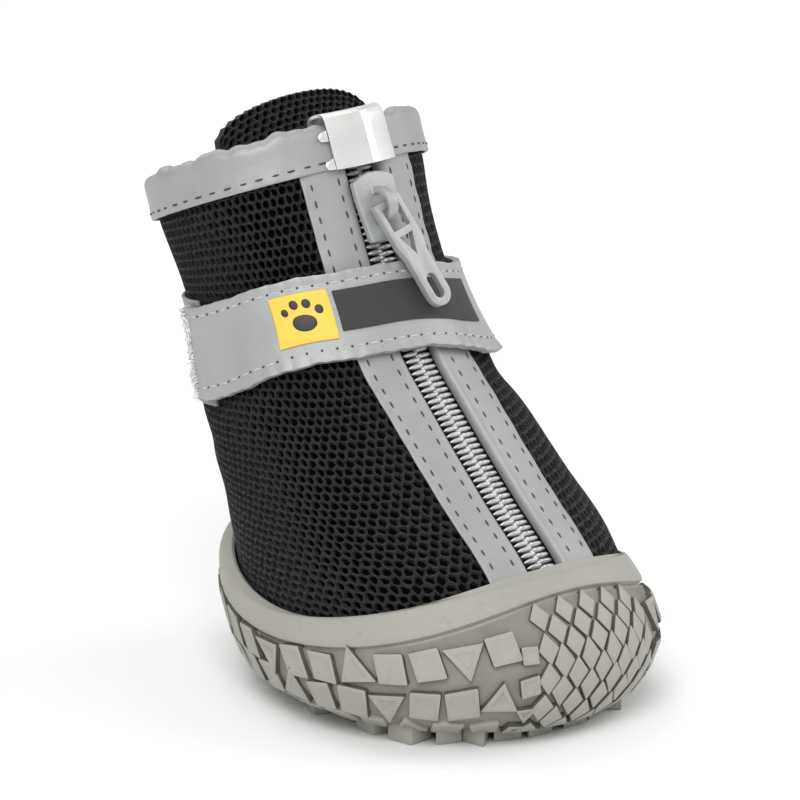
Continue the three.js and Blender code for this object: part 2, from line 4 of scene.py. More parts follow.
import bpy
import numpy as np
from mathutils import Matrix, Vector


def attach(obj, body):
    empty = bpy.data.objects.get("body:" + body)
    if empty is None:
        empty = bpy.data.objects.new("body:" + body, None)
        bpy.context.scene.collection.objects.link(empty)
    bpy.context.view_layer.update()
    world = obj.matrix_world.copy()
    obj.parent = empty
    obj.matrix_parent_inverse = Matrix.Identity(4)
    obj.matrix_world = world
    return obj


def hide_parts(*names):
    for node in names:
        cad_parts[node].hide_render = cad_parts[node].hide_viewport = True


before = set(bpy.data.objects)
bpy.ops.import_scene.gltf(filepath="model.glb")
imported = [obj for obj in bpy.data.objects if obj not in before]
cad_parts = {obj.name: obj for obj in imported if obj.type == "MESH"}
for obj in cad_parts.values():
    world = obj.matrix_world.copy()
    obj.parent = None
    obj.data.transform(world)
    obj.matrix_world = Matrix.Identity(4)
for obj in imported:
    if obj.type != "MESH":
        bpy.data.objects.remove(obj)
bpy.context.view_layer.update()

# ------------------------------------------------------------ camera
# A long lens in front of the boot's right side and a little above it, so that the toe points away to the
# right and the zip runs down the middle.

MM = 0.001
CAMERA_AZIMUTH = math.radians(-40)
CAMERA_HEIGHT = math.radians(17)
CAMERA_DISTANCE = 1.8
CAMERA_AIM = Vector((0.0042, 0.0127, 0.0407))
CAMERA_LENS = 540

camera_back = Vector((
    math.sin(CAMERA_AZIMUTH) * math.cos(CAMERA_HEIGHT),
    -math.cos(CAMERA_AZIMUTH) * math.cos(CAMERA_HEIGHT),
    math.sin(CAMERA_HEIGHT),
))
bpy.ops.object.camera_add(location=CAMERA_AIM + camera_back * CAMERA_DISTANCE)
camera = bpy.context.active_object
camera.name = "camera"
camera.rotation_euler = (-camera_back).to_track_quat("-Z", "Y").to_euler()
camera.data.lens = CAMERA_LENS
camera.data.clip_start = 0.05
bpy.context.scene.camera = camera

# ------------------------------------------------------------ stage
# A white floor of paper, with a large soft light on each side in front, one behind, and a bright room.

LIGHTS = [
    dict(place=(-0.55, -0.50, 0.80), size=0.60, power=6.0),
    dict(place=(0.70, -0.35, 0.55), size=0.60, power=2.2),
    dict(place=(0.10, 0.65, 0.80), size=0.80, power=2.6),
]
ROOM_LIGHT = 0.62


class Wire:
    """A shader socket: sums on it add their Math nodes."""

    def __init__(self, paint, socket):
        self.paint, self.socket = paint, socket

    def math(self, operation, first, second=0.0):
        return self.paint.node("ShaderNodeMath", {"operation": operation}, {0: first, 1: second})

    def __add__(self, other):
        return self.math("ADD", self, other)

    def __radd__(self, other):
        return self.math("ADD", other, self)

    def __sub__(self, other):
        return self.math("SUBTRACT", self, other)

    def __rsub__(self, other):
        return self.math("SUBTRACT", other, self)

    def __mul__(self, other):
        return self.math("MULTIPLY", self, other)

    def __rmul__(self, other):
        return self.math("MULTIPLY", other, self)

    def sine(self):
        return self.math("SINE", self)

    def between(self, low, high):
        """0 below low, 1 above high, and smooth between."""
        return self.paint.node("ShaderNodeMapRange", {"interpolation_type": "SMOOTHSTEP"},
                               {"Value": self, "From Min": low, "From Max": high})


class Paint:
    """A material: its constants on the shader, and a pattern wired to what changes over the surface."""

    def __init__(self, name, **constants):
        self.material = bpy.data.materials.new(name)
        self.material.use_nodes = True
        self.tree = self.material.node_tree
        self.shader = self.tree.nodes["Principled BSDF"]
        for socket, value in constants.items():
            self.shader.inputs[socket.replace("_", " ")].default_value = value

    def node(self, kind, settings=None, sockets=None, out=0):
        made = self.tree.nodes.new(kind)
        for name, value in (settings or {}).items():
            setattr(made, name, value)
        for name, value in (sockets or {}).items():
            if isinstance(value, Wire):
                self.tree.links.new(value.socket, made.inputs[name])
            else:
                made.inputs[name].default_value = value
        return Wire(self, made.outputs[out])

    def feed(self, socket, wire):
        self.tree.links.new(wire.socket, self.shader.inputs[socket])

    def where(self):
        """Object coordinates in mm."""
        place = self.node("ShaderNodeTexCoord", out=3)
        return self.node("ShaderNodeVectorMath", {"operation": "SCALE"}, {0: place, "Scale": 1000.0})

    def axis(self, place, index):
        return self.node("ShaderNodeSeparateXYZ", None, {0: place}, out=index)

    def noise(self, size, detail=3.0, place=None):
        """Noise from 0 to 1 in patches of about size mm."""
        return self.node("ShaderNodeTexNoise", None,
                         {"Vector": place or self.where(), "Scale": 1.0 / size, "Detail": detail})

    def mixed(self, share, first, second):
        return self.node("ShaderNodeMix", {"data_type": "RGBA"}, {0: share, 6: first, 7: second}, out=2)

    def tint(self, share, dark, light):
        """Feeds the base colour with a mix of two colours, each three parts or one grey."""
        dark, light = (tone if isinstance(tone, tuple) else (tone,) * 3 for tone in (dark, light))
        self.feed("Base Color", self.mixed(share, (*dark, 1), (*light, 1)))

    def bump(self, height, depth):
        """Bump by a height of 0 to 1 that stands for depth mm."""
        self.feed("Normal", self.node("ShaderNodeBump", None,
                                      {"Height": height, "Strength": 1.0, "Distance": depth * MM}))

    def on(self, *pieces):
        for piece in pieces:
            piece.data.materials.clear()
            piece.data.materials.append(self.material)


def alone():
    """Deselects everything, so that the next operator acts only on what it makes."""
    if bpy.context.mode != "OBJECT":
        bpy.ops.object.mode_set(mode="OBJECT")
    bpy.ops.object.select_all(action="DESELECT")


alone()
bpy.ops.mesh.primitive_plane_add(size=6)
floor = bpy.context.active_object
floor.name = "floor"
floor_paint = Paint("white paper", Roughness=0.7, Specular_IOR_Level=0.1)
floor_paint.tint(floor_paint.noise(60), 0.93, 0.96)
floor_paint.on(floor)

for light in LIGHTS:
    alone()
    bpy.ops.object.light_add(type="AREA", location=light["place"])
    lamp = bpy.context.active_object
    lamp.data.size = light["size"]
    lamp.data.energy = light["power"]
    lamp.rotation_euler = (Vector((0, 0, 0.04)) - lamp.location).to_track_quat("-Z", "Y").to_euler()

room = bpy.data.worlds.new("bright room")
bpy.context.scene.world = room
room.use_nodes = True
room.node_tree.nodes["Background"].inputs["Color"].default_value = (1, 1, 1, 1)
room.node_tree.nodes["Background"].inputs["Strength"].default_value = ROOM_LIGHT
bpy.context.scene.view_settings.view_transform = "Standard"

# ------------------------------------------------------------ upper
# The body of the boot: one panel of black spacer mesh, about 1.5 mm thick, knitted with staggered holes.
# It is cut flat, lasted into a tube that closes at the zip, and its lower edge is glued into the cup sole.

# The last: ovals in the planes through a point of the front line and a point of the back line, in mm.
UPPER_SECTIONS = [
    dict(front_y=-29.0, front_z=5, back_y=28.8, back_z=5, half=22.2, egg=0.13),
    dict(front_y=-32.0, front_z=15, back_y=34.0, back_z=14, half=26.2, egg=0.12),
    dict(front_y=-26.5, front_z=24, back_y=35.6, back_z=22, half=26.2, egg=0.10),
    dict(front_y=-16.0, front_z=33, back_y=37.8, back_z=29, half=25.2, egg=0.08),
    dict(front_y=-5.0, front_z=43, back_y=40.0, back_z=36, half=23.4, egg=0.06),
    dict(front_y=3.0, front_z=51, back_y=42.0, back_z=43, half=21.4, egg=0.04),
    dict(front_y=7.5, front_z=58, back_y=44.5, back_z=51, half=20.2, egg=0.02),
    dict(front_y=10.8, front_z=64, back_y=47.0, back_z=57, half=20.4, egg=0.0),
    dict(front_y=16.0, front_z=76, back_y=49.5, back_z=62, half=21.4, egg=0.0),
    dict(front_y=19.0, front_z=83, back_y=51.5, back_z=68, half=22.0, egg=0.0),
]
# Soft troughs of the worn-in cloth, each with a ridge above it: where, how long, wide and deep in mm.
CREASES = [
    dict(level=0.50, angle=150, along=26, across=5.0, depth=0.9, slope=0.15),
    dict(level=0.44, angle=208, along=24, across=4.5, depth=0.8, slope=-0.12),
    dict(level=0.47, angle=-58, along=17, across=4.5, depth=0.8, slope=0.35),
    dict(level=0.47, angle=60, along=17, across=4.5, depth=0.7, slope=-0.30),
    dict(level=0.33, angle=-100, along=26, across=7.0, depth=0.7, slope=0.12),
    dict(level=0.30, angle=105, along=26, across=7.0, depth=0.6, slope=-0.10),
    dict(level=0.83, angle=-70, along=13, across=4.0, depth=0.6, slope=0.10),
    dict(level=0.84, angle=80, along=13, across=4.0, depth=0.5, slope=0.05),
    dict(level=0.86, angle=180, along=20, across=4.5, depth=0.6, slope=0.0),
]
CREASE_RIDGE = 0.55
# The length up the last and its radius, in mm, for sizes along the creases and folds.
LAST_LENGTH = 78
LAST_RADIUS = 23
WALL = 1.5
THROAT_HALF = 3.6
UPPER_FOOT = 0.03
HOLE_PITCH = 1.46
HOLE_ROW = 1.15
HOLE_COLUMNS = 100
HOLE_ROWS = 60
HOLE_DEPTH = 0.9
YARN_HALF = 0.17
YARN_ROUND = 0.12
HOLE_FUNNEL = 0.07
# How far the knit wanders from even rows, along and up, and how far single yarns stray, in mm.
WANDER = (0.15, 0.14)
STRAY = 0.07


def smooth_curve(points):
    """A centripetal Catmull-Rom curve through points, as a function of a place from 0 to 1."""
    points = np.array(points, float)
    padded = np.vstack([2 * points[0] - points[1], points, 2 * points[-1] - points[-2]])
    gaps = np.maximum(np.sum(np.diff(padded, axis=0) ** 2, axis=1) ** 0.25, 1e-4)
    final = len(points) - 1

    def at(place):
        place = np.clip(place, 0, 1) * final
        i = np.minimum(place.astype(int), final - 1)
        f = (place - i)[:, None]
        p0, p1, p2, p3 = (padded[i + k] for k in range(4))
        d0, d1, d2 = (gaps[i + k][:, None] for k in range(3))
        t1 = ((p1 - p0) / d0 - (p2 - p0) / (d0 + d1) + (p2 - p1) / d1) * d1
        t2 = ((p2 - p1) / d1 - (p3 - p1) / (d1 + d2) + (p3 - p2) / d2) * d1
        return p1 + f * (t1 + f * (3 * (p2 - p1) - 2 * t1 - t2 + f * (2 * (p1 - p2) + t1 + t2)))

    return at


def arrays(*values):
    """The values as float arrays of one length."""
    return np.broadcast_arrays(*(np.atleast_1d(np.asarray(value, float)) for value in values))


class Form:
    """A smooth surface through a table of sections: level 0 to 1 up it, angle from the toe towards +X."""

    def __init__(self, sections, creases=()):
        self.front = smooth_curve([(0, row["front_y"], row["front_z"]) for row in sections])
        self.back = smooth_curve([(0, row["back_y"], row["back_z"]) for row in sections])
        self.girth = smooth_curve([(row["half"], row["egg"] * 10, row.get("drop", 0)) for row in sections])
        self.creases = creases

    def sample(self, curve, level):
        end, before = curve(np.array([1.0])), curve(np.array([0.99]))
        return curve(np.minimum(level, 1)) + np.maximum(level - 1, 0)[:, None] * (end - before) / 0.01

    def surface(self, level, angle):
        front, back = self.sample(self.front, level), self.sample(self.back, level)
        half, egg, drop = self.sample(self.girth, level).T
        point = (front + back) / 2 + (front - back) / 2 * np.cos(angle)[:, None]
        point[:, 0] = half * np.sin(angle) * (1 + egg / 10 * np.cos(angle))
        point[:, 2] -= drop * np.sin(angle) ** 2
        return point

    def normal(self, level, angle):
        step = 0.004
        low = np.maximum(level - step, 0)
        rise = self.surface(low + 2 * step, angle) - self.surface(low, angle)
        turn = self.surface(level, angle + step) - self.surface(level, angle - step)
        out = np.cross(turn, rise)
        return out / np.linalg.norm(out, axis=1)[:, None]

    def sunk(self, level, angle):
        """How far the creases press the surface in, in mm."""
        depth = np.zeros_like(level)
        for crease in self.creases:
            away = np.mod(angle - math.radians(crease["angle"]) + math.pi, 2 * math.pi) - math.pi
            along = away * LAST_RADIUS
            across = (level - crease["level"]) * LAST_LENGTH - along * crease["slope"]
            reach = np.exp(-2 * (along / crease["along"]) ** 2)
            trough = np.exp(-2 * (across / crease["across"]) ** 2)
            ridge = np.exp(-2 * ((across - crease["across"] * 1.3) / crease["across"]) ** 2)
            depth += crease["depth"] * reach * (trough - CREASE_RIDGE * ridge)
        return depth

    def place(self, level, angle, out=0.0):
        """Points on the form, or out millimetres outside it, in metres."""
        level, angle, out = arrays(level, angle, out)
        away = (out - self.sunk(level, angle))[:, None]
        return (self.surface(level, angle) + self.normal(level, angle) * away) * MM

    def angle_at(self, level, x):
        """The angle at which the surface is x mm to the side of the front line."""
        level, x = arrays(level, x)
        return np.arcsin(np.clip(x / self.sample(self.girth, np.minimum(level, 1))[:, 0], -1, 1))

    def level_at(self, height, angle, out):
        """The level at which a point out mm from the surface is at this height in mm."""
        low, high = np.zeros_like(angle), np.full_like(angle, 0.6)
        for _ in range(24):
            middle = (low + high) / 2
            under = self.place(middle, angle, out)[:, 2] / MM < height
            low, high = np.where(under, middle, low), np.where(under, high, middle)
        return low


plain_last = Form(UPPER_SECTIONS)
last = Form(UPPER_SECTIONS, CREASES)


def only(piece):
    alone()
    piece.select_set(True)
    bpy.context.view_layer.objects.active = piece


def modified(piece, kind, **settings):
    """Adds a modifier with these settings and applies it."""
    only(piece)
    modifier = piece.modifiers.new(kind.lower(), kind)
    for name, value in settings.items():
        setattr(modifier, name, value)
    bpy.ops.object.modifier_apply(modifier=modifier.name)


def repeated(piece, count, x, y=0.0, **settings):
    """Repeats a piece every x and y mm."""
    modified(piece, "ARRAY", count=count, use_relative_offset=False, use_constant_offset=True,
             constant_offset_displace=(x * MM, y * MM, 0), **settings)


def points_of(piece):
    points = np.empty(len(piece.data.vertices) * 3)
    piece.data.vertices.foreach_get("co", points)
    return points.reshape(-1, 3)


def moved(piece, points):
    """Puts a piece's points in new places."""
    piece.data.vertices.foreach_set("co", np.ascontiguousarray(points, float).ravel())
    piece.data.update()


def edit(piece, *steps):
    """Runs edit-mode steps on a piece, starting with all of it selected."""
    only(piece)
    bpy.ops.object.mode_set(mode="EDIT")
    bpy.ops.mesh.select_mode(type="FACE")
    bpy.ops.mesh.select_all(action="SELECT")
    for step in steps:
        step()
    bpy.ops.object.mode_set(mode="OBJECT")


def faces_out():
    bpy.ops.mesh.remove_doubles(threshold=1e-6)
    bpy.ops.mesh.normals_make_consistent(inside=False)


def smooth(piece, angle=40):
    only(piece)
    bpy.ops.object.shade_smooth_by_angle(angle=math.radians(angle))


def finished(piece, paint, body="boot"):
    """Gives a piece its material and its body."""
    if paint:
        paint.on(piece)
    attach(piece, body)
    return piece


def knitted(name, columns, rows, wall, pit):
    """A flat panel of spacer mesh: one cell with its hole pressed in, repeated in staggered rows."""
    alone()
    bpy.ops.mesh.primitive_circle_add(vertices=6, radius=1, fill_type="NGON")
    made = bpy.context.active_object
    made.name = name
    made.data.materials.append(mesh_paint.material)
    made.data.materials.append(hole_shade_paint.material)
    corners = points_of(made)
    corners[:, 0] *= HOLE_PITCH / 2 / corners[:, 0].max()
    corners[:, 1] *= HOLE_ROW * 2 / 3 / corners[:, 1].max()
    moved(made, corners * MM)

    def press_hole():
        bpy.ops.mesh.normals_make_consistent(inside=False)
        bpy.ops.mesh.duplicate()
        bpy.ops.transform.translate(value=(0, 0, -wall * MM))
        bpy.ops.mesh.flip_normals()
        bpy.ops.mesh.select_all(action="INVERT")
        bpy.ops.mesh.inset(thickness=YARN_HALF * MM, depth=-YARN_ROUND * MM)
        bpy.ops.mesh.inset(thickness=HOLE_FUNNEL * MM, depth=-(pit - YARN_ROUND) * MM)
        # The hole's floor gets the near-black painted shade.
        bpy.context.object.active_material_index = 1
        bpy.ops.object.material_slot_assign()

    edit(made, press_hole)
    merged = dict(use_merge_vertices=True, merge_threshold=1e-5)
    repeated(made, 2, HOLE_PITCH / 2, HOLE_ROW, **merged)
    repeated(made, columns, HOLE_PITCH, **merged)
    repeated(made, rows // 2, 0, HOLE_ROW * 2, **merged)

    def close_edge():
        bpy.ops.mesh.remove_doubles(threshold=1e-6)
        bpy.ops.mesh.select_all(action="DESELECT")
        bpy.ops.mesh.select_mode(type="EDGE")
        bpy.ops.mesh.select_non_manifold(extend=False, use_wire=False, use_boundary=True,
                                         use_multi_face=False, use_non_contiguous=False, use_verts=False)
        bpy.ops.mesh.bridge_edge_loops()

    edit(made, close_edge)
    return made


def shares(piece):
    """How far along and up a flat panel each point is, from 0 to 1, and its height in mm."""
    flat = points_of(piece)
    low = flat.min(axis=0)
    wide, tall, _ = flat.max(axis=0) - low
    across, up = (flat[:, 0] - low[0]) / wide, (flat[:, 1] - low[1]) / tall
    wander = np.sin(flat[:, 0] * 2300 + np.sin(flat[:, 1] * 1900) * 2) * np.sin(flat[:, 1] * 2700)
    stray = np.sin(flat[:, 0] * 9100 + 1) * np.sin(flat[:, 1] * 8300 + 2)
    inside = np.minimum(np.minimum(across, 1 - across), np.minimum(up, 1 - up)) > 0.03
    across += (wander * WANDER[0] + stray * STRAY) * inside * MM / wide
    up += (wander * WANDER[1] - stray * STRAY) * inside * MM / tall
    trim = 0.55 * HOLE_PITCH * MM / wide
    across = (np.clip(across, trim, 1 - trim) - trim) / (1 - 2 * trim)
    return across, up, flat[:, 2] / MM


# The level at which a share of the way up is reached, so that the rows of holes stay evenly spaced.
STEPS_UP = 60
STEPS_ROUND = 72
wanted_shares = np.linspace(0, 1, STEPS_UP + 1)
levels_up = np.linspace(UPPER_FOOT, 1, STEPS_UP + 1)
rows_round = []
for turn in np.linspace(0, 2 * math.pi, STEPS_ROUND + 1):
    climb = last.surface(levels_up, np.full_like(levels_up, turn))
    height = np.concatenate([[0], np.cumsum(np.linalg.norm(np.diff(climb, axis=0), axis=1))])
    rows_round.append(np.interp(wanted_shares, height / height[-1], levels_up))
rows_round = np.array(rows_round)


def level_of(share, angle):
    row = np.clip(angle / (2 * math.pi) * STEPS_ROUND, 0, STEPS_ROUND - 0.001)
    column = np.clip(share * STEPS_UP, 0, STEPS_UP - 0.001)
    i, j = row.astype(int), column.astype(int)
    f, g = row - i, column - j
    near = rows_round[i, j] * (1 - g) + rows_round[i, j + 1] * g
    far = rows_round[i + 1, j] * (1 - g) + rows_round[i + 1, j + 1] * g
    return near * (1 - f) + far * f


mesh_paint = Paint("black air mesh", Specular_IOR_Level=0.32, Sheen_Weight=0.05, Sheen_Roughness=0.4)
mesh_place = mesh_paint.where()
yarn = mesh_paint.node(
    "ShaderNodeTexWave", {"wave_type": "BANDS", "bands_direction": "DIAGONAL"},
    {"Vector": mesh_place, "Scale": 1.6, "Distortion": 3.0, "Detail": 2.0, "Detail Scale": 1.6},
)
mesh_wear = mesh_paint.noise(7, 3, mesh_place)
mesh_paint.tint(yarn * 0.6 + mesh_wear * 0.4, (0.006, 0.006, 0.0065), (0.026, 0.026, 0.027))
mesh_paint.feed("Roughness", 0.42 + 0.3 * mesh_wear)
mesh_paint.bump(yarn, 0.14)
# Painted shade: the floors of the mesh's holes are painted near black, darker than the black yarn, to stand
# for the shade inside them.
hole_shade_paint = Paint("painted shade in mesh holes", Roughness=0.95, Specular_IOR_Level=0.05)
hole_shade_paint.tint(hole_shade_paint.noise(2), 0.001, 0.004)

upper = knitted("upper", HOLE_COLUMNS, HOLE_ROWS, WALL, HOLE_DEPTH)
around, up, out = shares(upper)
start = last.angle_at(level_of(up, np.full_like(up, 0.2)), THROAT_HALF)
angle = start + (2 * math.pi - 2 * start) * around
moved(upper, last.place(level_of(up, angle), angle, out))
edit(upper, faces_out)
smooth(upper, 60)
finished(upper, None)
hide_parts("upper")

# ------------------------------------------------------------ outsole
# One cup of moulded taupe rubber: a smooth proud band round the rim with a groove under it, curved walls
# and a flat bottom, cast together with the tread.

SOLE_SECTIONS = [
    dict(front_y=-20.0, front_z=1.2, back_y=20.0, back_z=1.2, half=15, egg=0.13, drop=0),
    dict(front_y=-27.5, front_z=1.6, back_y=27.2, back_z=1.5, half=21.4, egg=0.13, drop=0),
    dict(front_y=-32.6, front_z=4.0, back_y=32.4, back_z=3.8, half=26, egg=0.13, drop=0.2),
    dict(front_y=-35.3, front_z=9.3, back_y=34.6, back_z=8.4, half=28.2, egg=0.13, drop=2.2),
    dict(front_y=-35.6, front_z=14.2, back_y=36.2, back_z=13, half=28.8, egg=0.13, drop=4),
    dict(front_y=-32.8, front_z=19.6, back_y=37.1, back_z=17, half=28.6, egg=0.12, drop=5.7),
    dict(front_y=-28.4, front_z=24.6, back_y=37.2, back_z=21, half=27.7, egg=0.11, drop=6.3),
]
SOLE_BASE = 1.2
CUP_FLOOR = 4.7
CUP_CLEAR = 0.35
CUP_AROUND = 120
BAND_FOOT = 5 / 6
# The rim band's outline over the groove under it: level, and how far it stands out in mm.
BAND_OUTLINE = [
    (BAND_FOOT - 0.006, -0.45), (BAND_FOOT + 0.006, -0.45), (BAND_FOOT + 0.010, 0.1),
    (BAND_FOOT + 0.014, 0.42), (BAND_FOOT + 0.03, 0.58), (0.88, 0.6), (0.91, 0.6), (0.94, 0.6),
    (0.965, 0.58), (0.982, 0.46), (0.994, 0.2), (1.0, -0.12),
]
TOE_RISE = 0.08

sole_form = Form(SOLE_SECTIONS)


def risen(level, angle):
    """The level of something under the rim band, which is narrower over the toe than elsewhere."""
    away = np.mod(angle + math.pi, 2 * math.pi) - math.pi
    share = np.clip((level - 0.5) / (BAND_FOOT - 0.5), 0, 1) * np.clip((1 - level) / (1 - BAND_FOOT), 0, 1)
    return level + TOE_RISE * share * np.exp(-(away / 0.6) ** 2)


def panel(name, columns, rows):
    """A flat panel of columns by rows faces, one metre square."""
    alone()
    bpy.ops.mesh.primitive_grid_add(x_subdivisions=columns, y_subdivisions=rows, size=1)
    made = bpy.context.active_object
    made.name = name
    return made


angle = np.linspace(0, 2 * math.pi, CUP_AROUND + 1)
underside = sole_form.place(0, angle)
middle = np.array([0, 0, SOLE_BASE * MM])
rings = [middle + (underside - middle) * k for k in (0.0, 0.35, 0.7)]
rings += [sole_form.place(risen(level, angle), angle) for level in np.linspace(0, BAND_FOOT - 0.014, 22)]
rings += [sole_form.place(risen(level, angle), angle, out) for level, out in BAND_OUTLINE]
rim_level = plain_last.level_at(sole_form.place(1, angle)[:, 2] / MM, angle, CUP_CLEAR)
rings.append(plain_last.place(rim_level, angle, 0.75) + np.array([0, 0, 0.25 * MM]))
rings += [plain_last.place(rim_level * k, angle, CUP_CLEAR) for k in (1.0, 0.8, 0.6, 0.4, 0.2, 0.0)]
cup_corner = rings[-1].copy()
cup_corner[:, 2] = CUP_FLOOR * MM
cup_middle = np.array([0, 0, CUP_FLOOR * MM])
rings += [cup_middle + (cup_corner - cup_middle) * k for k in (1.0, 0.5, 0.0)]
rings = np.stack(rings, axis=1)

cup = panel("outsole_cup", CUP_AROUND, rings.shape[1] - 1)
flat = points_of(cup)[:, :2] + 0.5
column, row = np.rint(flat * (CUP_AROUND, rings.shape[1] - 1)).astype(int).T
moved(cup, rings[column, row])
edit(cup, faces_out)
smooth(cup, 35)

rubber_paint = Paint("taupe rubber", Specular_IOR_Level=0.42)
rubber_place = rubber_paint.where()
cloud = rubber_paint.noise(12, 3, rubber_place)
grain = rubber_paint.noise(0.5, 4, rubber_place)
scuff = rubber_paint.noise(2.2, 5, rubber_place).between(0.58, 0.75)
rubber_tone = rubber_paint.mixed(cloud, (0.315, 0.308, 0.272, 1), (0.395, 0.386, 0.345, 1))
rubber_worn = rubber_paint.mixed(scuff * 0.25, rubber_tone, (0.22, 0.213, 0.188, 1))
rubber_paint.feed("Base Color", rubber_worn)
rubber_paint.feed("Roughness", 0.42 + 0.25 * cloud)
rubber_paint.bump(grain, 0.06)
finished(cup, rubber_paint)
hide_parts("outsole")

# The wall between the lugs below the band: duller, and painted darker as the shade that falls there under the
# band and between the lugs.
shaded_low_rubber = Paint("rubber with painted shade between the lugs", Roughness=0.75, Specular_IOR_Level=0.25)
shaded_low_rubber.tint(shaded_low_rubber.noise(3, 4), (0.19, 0.183, 0.158), (0.29, 0.282, 0.248))
shaded_low_rubber.bump(shaded_low_rubber.noise(0.5, 4), 0.06)
cup.data.materials.append(shaded_low_rubber.material)
# A point inside the cup, from which its outer faces look away.
CUP_MIDDLE = Vector((0, 0.002, 0.03))
GROOVE_MARGIN = 0.2
degrees_round = np.linspace(0, 2 * math.pi, 361)
groove = sole_form.place(risen(BAND_FOOT - 0.01, degrees_round), degrees_round)
# Outward faces below the band's groove get this painted shade.
for face in cup.data.polygons:
    turn = math.degrees(math.atan2(face.center.x, -face.center.y)) % 360
    under_band = face.center.z < groove[round(turn), 2] - GROOVE_MARGIN * MM
    face.material_index = int(under_band and face.normal.dot(face.center - CUP_MIDDLE) > 0)

# ------------------------------------------------------------ tread
# The tread cast with the cup: scales over the toe and the heel, squares and dimpled triangles round the
# walls, and on the bottom a panel of ribbed pads with four hexagonal studs down its middle.

WALL_LUG = 0.95
LUG_ROOT = 0.9
WALL_SQUARE = 4.6
WALL_WEDGE = 3.15
# Rows of lugs round the walls: every third is a wedge, and lift sinks the lowest row a little.
FLANK_ROWS = [
    dict(level=0.715, first=24, step=9.9, count=15, size=4.8, spin=4, wedge=1, lift=0),
    dict(level=0.495, first=26, step=10.1, count=14, size=4.8, spin=-6, wedge=0, lift=0),
    dict(level=0.3, first=29, step=11.2, count=12, size=4.4, spin=8, wedge=2, lift=-0.3),
]
# Small squares between the scales and the right flank: level, angle, turn, size.
TOE_SQUARES = [(0.55, -18.2, 8, 3.1), (0.70, -17.6, -6, 2.6), (0.29, -20.0, -10, 3.0)]
BOTTOM_ROOT = -3.2
# Nearer the middle than this, in mm, the sides of the bottom's blocks get the painted shade.
SIDE_SHADE_WITHIN = 18
# Blocks of the bottom on one side, repeated in mirror image on the other: x, y, size, turn.
BOTTOM_SQUARES = [
    (19.3, -17.6, 4.8, -8), (20.0, -11.0, 4.8, 6), (18.2, -5.0, 4.6, 22), (14.4, -0.4, 3.8, 35),
    (20.2, 1.2, 4.6, 24), (17.8, 7.2, 4.6, 28), (16.4, 13.6, 3.6, 30), (13.6, 18.2, 3.2, 22),
    (11.0, 22.4, 2.9, 10),
]
BOTTOM_TRIANGLES = [
    (3.4, -27.4, 2.7, 0), (2.6, -23.2, 2.4, 60), (8.2, -26.2, 2.6, 20), (12.6, -25.2, 2.6, -40),
    (16.0, -22.0, 2.4, 20), (5.3, 5.4, 3.8, 15), (2.6, 10.6, 2.9, 0), (10.4, 6.2, 2.7, 50),
    (9.8, 11.4, 2.9, 25), (13.4, 3.9, 2.0, 0), (9.4, 17.0, 2.6, 30),
]
RIBBED_PADS = [
    [(-2.9, -22.3), (-5.6, -23.4), (-14.6, -19.6), (-15.8, -16.8), (-12.4, -14.2), (-3.9, -17.0)],
    [(-3.4, -12.6), (-4.4, -9.0), (-11.6, -6.8), (-14.8, -9.4), (-13.8, -12.6)],
    [(-3.2, -7.6), (-2.9, -4.2), (-9.4, -0.2), (-12.2, -1.4), (-11.4, -5.0)],
    [(4.6, -12.4), (14.0, -12.4), (15.6, -9.0), (12.2, -6.9), (4.6, -10.4)],
    [(3.0, -8.6), (3.2, -5.8), (9.4, -0.4), (12.2, -1.6), (11.4, -5.2)],
]
RING_PAD = [(3.7, -14.1), (3.7, -20.6), (8.0, -23.2), (12.4, -22.8), (16.0, -19.4), (16.4, -14.1)]
CENTRE_PAD = [(0, -1.5), (6.0, 0.2), (0, 2.1), (-6.0, 0.2)]
STUD_PLACES = [-18.6, -13.6, -8.7, -3.9]
RIB_PITCH = 1.7
RIB_WIDTH = 1.05
RIB_SLOPE = -0.45
RIB_SMALLEST = 0.8

# The steep sides of the lugs, painted dark as the shade that falls between them.
lug_side_shade_paint = Paint("painted shade beside the lugs", Roughness=0.85, Specular_IOR_Level=0.15)
lug_side_shade_paint.tint(lug_side_shade_paint.noise(2, 3), (0.06, 0.057, 0.048), (0.15, 0.144, 0.123))


def regular(sides, radius, turn=0.0):
    corners = [math.radians(turn) + 2 * math.pi * i / sides for i in range(sides)]
    return [(radius * math.cos(k), radius * math.sin(k)) for k in corners]


def rhomb(half_wide, half_tall):
    return [(half_wide, 0), (0, half_tall), (-half_wide, 0), (0, -half_tall)]


def bevelled(piece, edge, angle, segments=2):
    """Rounds the edges of a piece that turn by more than this angle."""
    modified(piece, "BEVEL", width=edge * MM, segments=segments, limit_method="ANGLE",
             angle_limit=math.radians(angle))


def press(piece, wanted, *steps):
    """Runs edit-mode steps on the wanted faces of a piece."""
    only(piece)
    bpy.ops.object.mode_set(mode="EDIT")
    bpy.ops.mesh.select_mode(type="FACE")
    bpy.ops.mesh.select_all(action="DESELECT")
    bpy.ops.object.mode_set(mode="OBJECT")
    for face in piece.data.polygons:
        face.select = wanted(face)
    bpy.ops.object.mode_set(mode="EDIT")
    for step in steps:
        step()
    bpy.ops.object.mode_set(mode="OBJECT")


